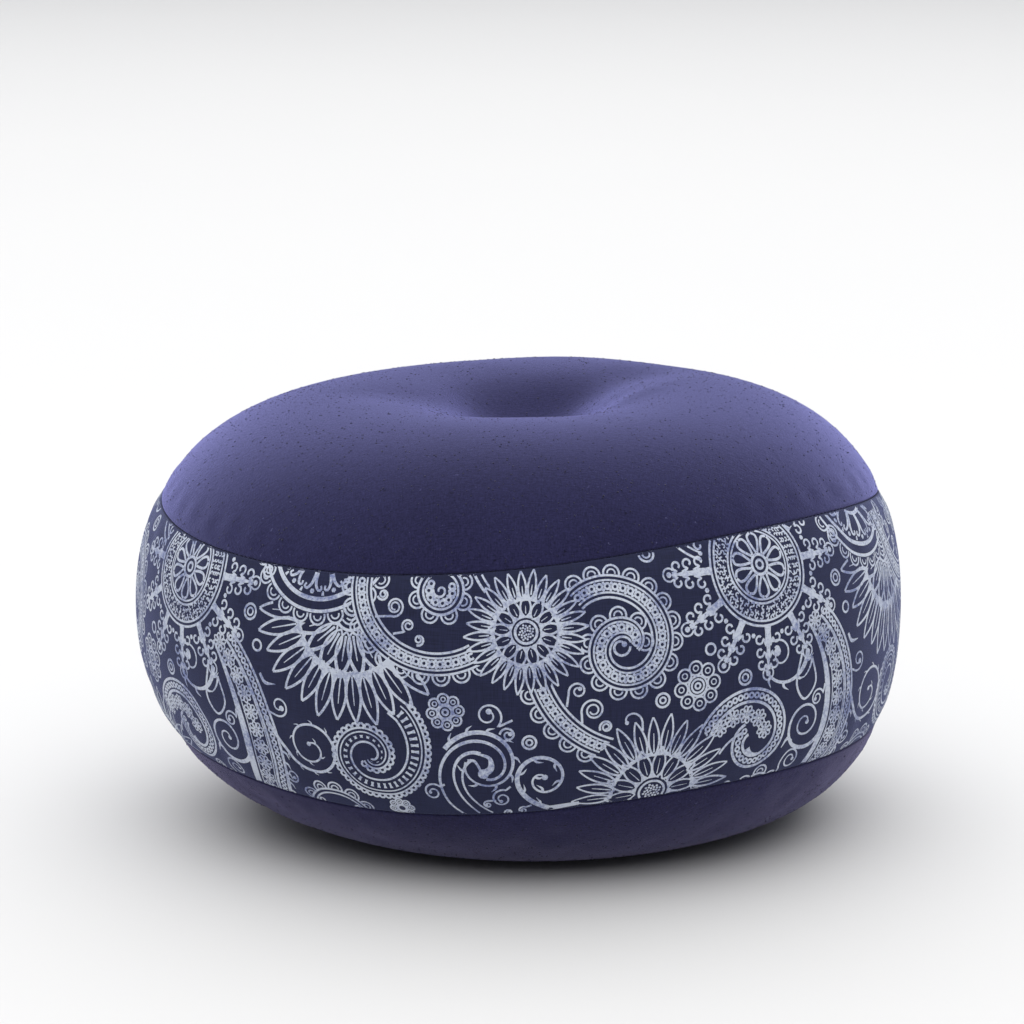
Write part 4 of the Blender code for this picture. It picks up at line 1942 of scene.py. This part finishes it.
@dataclass(frozen=True)
class ClothKnots:
    """Small knots of short fibre that stand on the slubby cloth."""

    per_square_metre: float = 40000.0
    radius: float = 0.00027
    seed: int = 11

    def values(self) -> dict[str, float]:
        """Sizes for the tree's inputs."""
        return {"Density": self.per_square_metre, "Radius": self.radius}

    def tree(self) -> Growing:
        """The tree that strews the knots.

        Returns:
            The tree.
        """
        grow = Growing("cloth_knots", ("Density", "Radius"))
        points, turn = grow.scattered()
        knot = grow.add("GeometryNodeMeshIcoSphere", {"Radius": 1.0, "Subdivisions": 1}).outputs[0]
        size = grow.times(grow.start["Radius"], grow.between(0.4, 1.55, 2))
        wide = grow.times(size, grow.between(0.9, 1.9, 3))
        thick = grow.times(size, grow.between(0.5, 0.9, 4))
        grow.set_out(points, knot, turn, grow.joined(wide, size, thick))
        return grow


@dataclass(frozen=True)
class ClothFuzz:
    """Short loose fibres that curl out of the slubby cloth."""

    per_square_metre: float = 18000.0
    length: float = 0.0017
    thickness: float = 0.045
    seed: int = 31

    def values(self) -> dict[str, float]:
        """Sizes for the tree's inputs."""
        return {"Density": self.per_square_metre, "Length": self.length, "Thickness": self.thickness}

    def tree(self) -> Growing:
        """The tree that strews the fibres.

        Returns:
            The tree.
        """
        grow = Growing("cloth_fuzz", ("Density", "Length", "Thickness"))
        points, turn = grow.scattered()
        inputs = {"Start": (0.0, 0.0, -0.05), "Middle": (0.15, 0.1, 0.42), "End": (1.0, 0.0, 0.22)}
        hair = grow.add("GeometryNodeCurveQuadraticBezier", {"Resolution": 4} | inputs).outputs[0]
        inputs = {"Resolution": 3, "Radius": grow.start["Thickness"]}
        ring = grow.add("GeometryNodeCurvePrimitiveCircle", inputs).outputs[0]
        inputs = {"Curve": hair, "Profile Curve": ring, "Fill Caps": True}
        tube = grow.add("GeometryNodeCurveToMesh", inputs).outputs[0]
        size = grow.times(grow.start["Length"], grow.between(0.4, 1.3, 5))
        grow.set_out(points, tube, turn, grow.joined(size, size, grow.times(size, grow.between(0.5, 1.2, 6))))
        return grow


@dataclass(frozen=True)
class SeamThread:
    """Sewing thread that shows between the two cloths of a seam, one stitch after another."""

    pitch: float = 0.0030
    length: float = 0.0024
    thickness: float = 0.00036
    seed: int = 51
    row: int = 2
    stand: float = 0.00005

    def values(self) -> dict[str, float]:
        """Sizes for the tree's inputs."""
        return {"Pitch": self.pitch, "Length": self.length, "Thickness": self.thickness}

    def tree(self) -> Growing:
        """The tree that sets the stitches along a seam.

        Returns:
            The tree.
        """
        grow = Growing("seam_thread", ("Pitch", "Length", "Thickness"))
        line = grow.add("GeometryNodeMeshToCurve", {0: grow.start["Geometry"]}).outputs[0]
        inputs = {"Curve": line, "Length": grow.start["Pitch"]}
        even = grow.add("GeometryNodeResampleCurve", inputs, mode="LENGTH")
        along = grow.add("GeometryNodeInputTangent").outputs[0]
        turn = grow.add("FunctionNodeAlignRotationToVector", {"Vector": along}, axis="X").outputs[0]
        stitch = grow.add("GeometryNodeMeshUVSphere", {"Segments": 6, "Rings": 5, "Radius": 0.5}).outputs[0]
        thick = grow.times(grow.start["Thickness"], grow.between(0.85, 1.15, 7))
        scale = grow.joined(grow.times(grow.start["Length"], grow.between(0.92, 1.08, 8)), thick, thick)
        grow.set_out(even.outputs[0], stitch, turn, scale)
        return grow


@dataclass
class BandPrint:
    """The print on the band: repeats of one tile, laid on the settled cloth from seam to seam."""

    panel: FilledPanel
    tile: PrintTile = field(default_factory=PrintTile)
    name: str = "band_print"
    lift: float = 0.00006
    margin: float = 0.0006
    repeats: int = 2

    def side_of(self, along: np.ndarray) -> np.ndarray:
        """Column of the panel's grid at a distance from the front."""
        return (along / (self.panel.form.width / 2.0) + math.pi) * self.panel.plan.sides / TAU

    def cut(self) -> np.ndarray:
        """Triangles of every repeat between the seams, in metres on the flat cloth.

        Returns:
            The triangles.
        """
        one = self.tile.drawn() * MILLIMETRE
        shift = np.array([self.tile.length, self.tile.rise]) * MILLIMETRE
        numbers = range(-self.repeats, self.repeats + 1)
        every = np.concatenate([one + shift * number for number in numbers])
        seat = every.mean(axis=1)
        columns = np.arange(self.panel.plan.sides + 1)
        places = self.panel.laid.places
        side = self.side_of(seat[:, 0])
        top = np.interp(side, columns, np.append(places[0], places[0, 0]))
        bottom = np.interp(side, columns, np.append(places[-1], places[-1, 0]))
        inside = (seat[:, 1] < top - self.margin) & (seat[:, 1] > bottom + self.margin)
        return every[inside & (np.abs(seat[:, 0]) < math.pi * self.panel.form.width / 2.0 - self.margin)]

    def build(self, band: bpy.types.Object, finish: bpy.types.Material) -> bpy.types.Object:
        """Lays the print on the band.

        Args:
            band: The finished band.
            finish: The ink.

        Returns:
            The finished piece.
        """
        corners = self.cut()
        flat, faces = np.unique(np.round(corners.reshape(-1, 2), 6), axis=0, return_inverse=True)
        faces = faces.reshape(-1, 3)
        a, b, c = faces.T
        faces = faces[(a != b) & (b != c) & (a != c)]
        table = ClothTable(self.panel.laid)
        points, out = table.sampled()
        side = self.side_of(flat[:, 0])
        near = table.read(points, side, flat[:, 1])
        facing = table.read(out, side, flat[:, 1])
        spots = [tuple(v.co) for v in band.data.vertices]
        cloth = BVHTree.FromPolygons(spots, [tuple(p.vertices) for p in band.data.polygons])
        laid = []
        for spot, way in zip(near, facing):
            found = cloth.find_nearest(Vector(spot))[0]
            laid.append(tuple(found + Vector(way) * self.lift))
        mesh = bpy.data.meshes.new(self.name)
        mesh.from_pydata(laid, [], faces.tolist())
        mesh.uv_layers.new(name=CLOTH_MAP).data.foreach_set("uv", flat[faces.reshape(-1)].reshape(-1))
        columns = self.panel.plan.sides / BAKED.rows
        row = np.floor(side[faces].mean(axis=1) / columns)[:, None]
        bake = np.stack(BAKED.strip(side[faces] / columns - row, row, flat[faces][:, :, 1]), axis=2)
        mesh.uv_layers.new(name=BAKE_MAP).data.foreach_set("uv", bake.reshape(-1))
        mesh.polygons.foreach_set("use_smooth", [True] * len(mesh.polygons))
        mesh.normals_split_custom_set_from_vertices([tuple(n) for n in facing])
        mesh.update()
        made = shown(self.name, mesh)
        mesh.materials.append(finish)
        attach(made, BODY)
        LOG.info("%s: %d triangles", self.name, len(faces))
        return made


@dataclass(frozen=True)
class Studio:
    """Pale floor, soft light from the back and above, and the camera."""

    camera_at: tuple[float, float, float] = (-0.0030, -1.9703, 0.528)
    camera_pitch_deg: float = 11.06
    lens: float = 147.5
    floor_half: float = 14.0
    room: float = 0.18
    window: float = 1.8
    window_from: float = 0.25
    window_to: float = 0.98
    ceiling_at: tuple[float, float, float] = (0.0, -0.6, 4.0)
    ceiling_size: tuple[float, float] = (9.0, 13.0)
    ceiling_power: float = 540.0

    def floor(self) -> bpy.types.Object:
        """The floor under the cushion.

        Returns:
            The floor.
        """
        mesh = bpy.data.meshes.new("studio_floor")
        h = self.floor_half
        mesh.from_pydata([(-h, -h, 0.0), (h, -h, 0.0), (h, h, 0.0), (-h, h, 0.0)], [], [(0, 1, 2, 3)])
        made = shown("studio_floor", mesh)
        mesh.materials.append(PaleFloor().material())
        return made

    def ceiling(self) -> None:
        """Hangs a very wide soft lamp that faces straight down."""
        data = bpy.data.lights.new("ceiling", "AREA")
        data.shape = "RECTANGLE"
        data.size, data.size_y = self.ceiling_size
        data.energy = self.ceiling_power
        data.color = (1.0, 0.995, 0.99)
        lamp = bpy.data.objects.new("ceiling", data)
        lamp.location = self.ceiling_at
        bpy.context.scene.collection.objects.link(lamp)

    def lights(self) -> None:
        """Soft light: a little all round, more from behind, and a very wide lit ceiling."""
        world = bpy.data.worlds.new("studio")
        world.use_nodes = True
        tree = world.node_tree
        back = tree.nodes["Background"]
        back.inputs["Color"].default_value = (0.93, 0.95, 1.0, 1.0)
        way = tree.nodes.new("ShaderNodeSeparateXYZ")
        tree.links.new(tree.nodes.new("ShaderNodeTexCoord").outputs["Generated"], way.inputs[0])
        share = tree.nodes.new("ShaderNodeMapRange")
        share.interpolation_type = "SMOOTHSTEP"
        ends = {"From Min": self.window_from, "From Max": self.window_to}
        for name, value in (ends | {"To Min": self.room, "To Max": self.window}).items():
            share.inputs[name].default_value = value
        tree.links.new(way.outputs["Y"], share.inputs["Value"])
        tree.links.new(share.outputs["Result"], back.inputs["Strength"])
        bpy.context.scene.world = world
        self.ceiling()

    def camera(self) -> None:
        """The camera, where it stood for the photograph."""
        data = bpy.data.cameras.new("camera")
        data.sensor_fit = "HORIZONTAL"
        data.sensor_width = 36.0
        data.lens = self.lens
        data.clip_start, data.clip_end = 0.01, 60.0
        cam = bpy.data.objects.new("camera", data)
        cam.location = self.camera_at
        cam.rotation_euler = (math.radians(90.0 - self.camera_pitch_deg), 0.0, 0.0)
        bpy.context.scene.collection.objects.link(cam)
        bpy.context.scene.camera = cam

    def build(self) -> None:
        """Sets the whole studio up."""
        self.floor()
        self.lights()
        self.camera()
        bpy.context.scene.view_settings.view_transform = "Standard"
        LOG.info("studio is set")


@dataclass
class Cushion:
    """The whole cushion."""

    form: BodyForm = field(default_factory=BodyForm)
    plan: MeshPlan = field(default_factory=MeshPlan)
    settling: Settling = field(default_factory=Settling)
    knot: YarnFinish = YarnFinish(
        "knot_yarn", (0.008, 0.0075, 0.021, 1.0), (0.026, 0.025, 0.062, 1.0), 900.0, 0.25
    )
    fuzz: YarnFinish = YarnFinish(
        "fuzz_yarn", (0.050, 0.050, 0.130, 1.0), (0.180, 0.180, 0.360, 1.0), 500.0, 0.5
    )
    thread: YarnFinish = YarnFinish(
        "sewing_thread", (0.007, 0.0075, 0.020, 1.0), (0.016, 0.017, 0.042, 1.0), 1500.0, 0.15
    )

    def panel(self, kind: PanelKind, name: str, node: str, slot: str, rings: int, fill: float) -> FilledPanel:
        """One panel, with the body's shape and the common ways of meshing and settling."""
        return FilledPanel(kind, name, node, slot, rings, fill, self.form, self.plan, self.settling)

    def strew(self, crown: FilledPanel, base: FilledPanel) -> None:
        """Knots and loose fibres on the crown and the base.

        Args:
            crown: The crown's panel.
            base: The base's panel.
        """
        kinds = (
            ("_knots", ClothKnots(), self.knot.material()),
            ("_fuzz", ClothFuzz(), self.fuzz.material()),
        )
        for number, panel in enumerate((crown, base)):
            for ending, strewn, finish in kinds:
                values = strewn.values() | {"Seed": strewn.seed + number, "Finish": finish}
                strewn.tree().grown(panel.kind.value + ending, panel.skin(), values, panel.slot)

    def sew(self, crown: FilledPanel, band: FilledPanel, base: FilledPanel) -> None:
        """Stitches in the seams above and below the band, and where its two ends meet at the back.

        Args:
            crown: The crown's panel.
            band: The band's panel.
            base: The base's panel.
        """
        thread, finish = SeamThread(), self.thread.material()
        row, lip = thread.row, band.plan.lip_steps
        seams = (
            ("crown_seam_stitches", (crown.laid.points[row] + band.laid.points[row]) / 2.0, crown.slot),
            ("base_seam_stitches", (base.laid.points[row] + band.laid.points[-1 - row]) / 2.0, base.slot),
        )
        closing = band.laid.points[lip : -lip - 1, 0] + np.array([0.0, thread.stand, 0.0])
        for number, (name, path, slot) in enumerate((*seams, ("band_closing_stitches", closing, band.slot))):
            mesh = bpy.data.meshes.new(name)
            count = len(path)
            edges = [(k, (k + 1) % count) for k in range(count - (path is closing))]
            mesh.from_pydata([tuple(p) for p in path], edges, [])
            values = thread.values() | {"Seed": thread.seed + number, "Finish": finish}
            thread.tree().grown(name, mesh, values, slot)

    def build(self) -> None:
        """Builds the panels, then what is sewn on and printed on them."""
        noil = NoilCloth().material()
        ground = BandCloth().material()
        crown_panel = self.panel(PanelKind.CROWN, "crown_cloth_panel", "crown_panel", "crown_cloth", 76, 0.9)
        crown = crown_panel.build(noil)
        band_panel = self.panel(PanelKind.BAND, "printed_band_cloth", "printed_band", "band_cloth", 46, 0.95)
        band = band_panel.build(ground)
        BandPrint(band_panel).build(band, PrintInk().material())
        base_panel = self.panel(PanelKind.BASE, "base_cloth_panel", "base_panel", "base_cloth", 52, 0.9)
        # Painted shade: the base takes the same noil cloth again with a weaker and warmer sheen, so that it
        # looks duller than the crown.
        painted_shade_cloth = NoilCloth("base_noil_cloth_painted_shade", sheen=0.6, sheen_tint=(0.58, 0.54, 0.88, 1.0))
        base = base_panel.build(painted_shade_cloth.material())
        self.strew(crown_panel, base_panel)
        self.sew(crown_panel, band_panel, base_panel)
        LOG.info("cushion is built from %s, %s and %s", crown.name, band.name, base.name)


def main() -> None:
    """Builds the cushion and the studio.
    """
    Cushion().build()
    Studio().build()
    bpy.context.view_layer.update()


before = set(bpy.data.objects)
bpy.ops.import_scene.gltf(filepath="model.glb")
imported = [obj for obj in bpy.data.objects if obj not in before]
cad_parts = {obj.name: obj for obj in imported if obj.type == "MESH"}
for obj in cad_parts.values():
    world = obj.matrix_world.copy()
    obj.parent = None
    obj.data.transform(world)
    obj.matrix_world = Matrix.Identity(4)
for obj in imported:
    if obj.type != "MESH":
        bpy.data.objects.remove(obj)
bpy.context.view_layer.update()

if __name__ == "__main__":
    main()
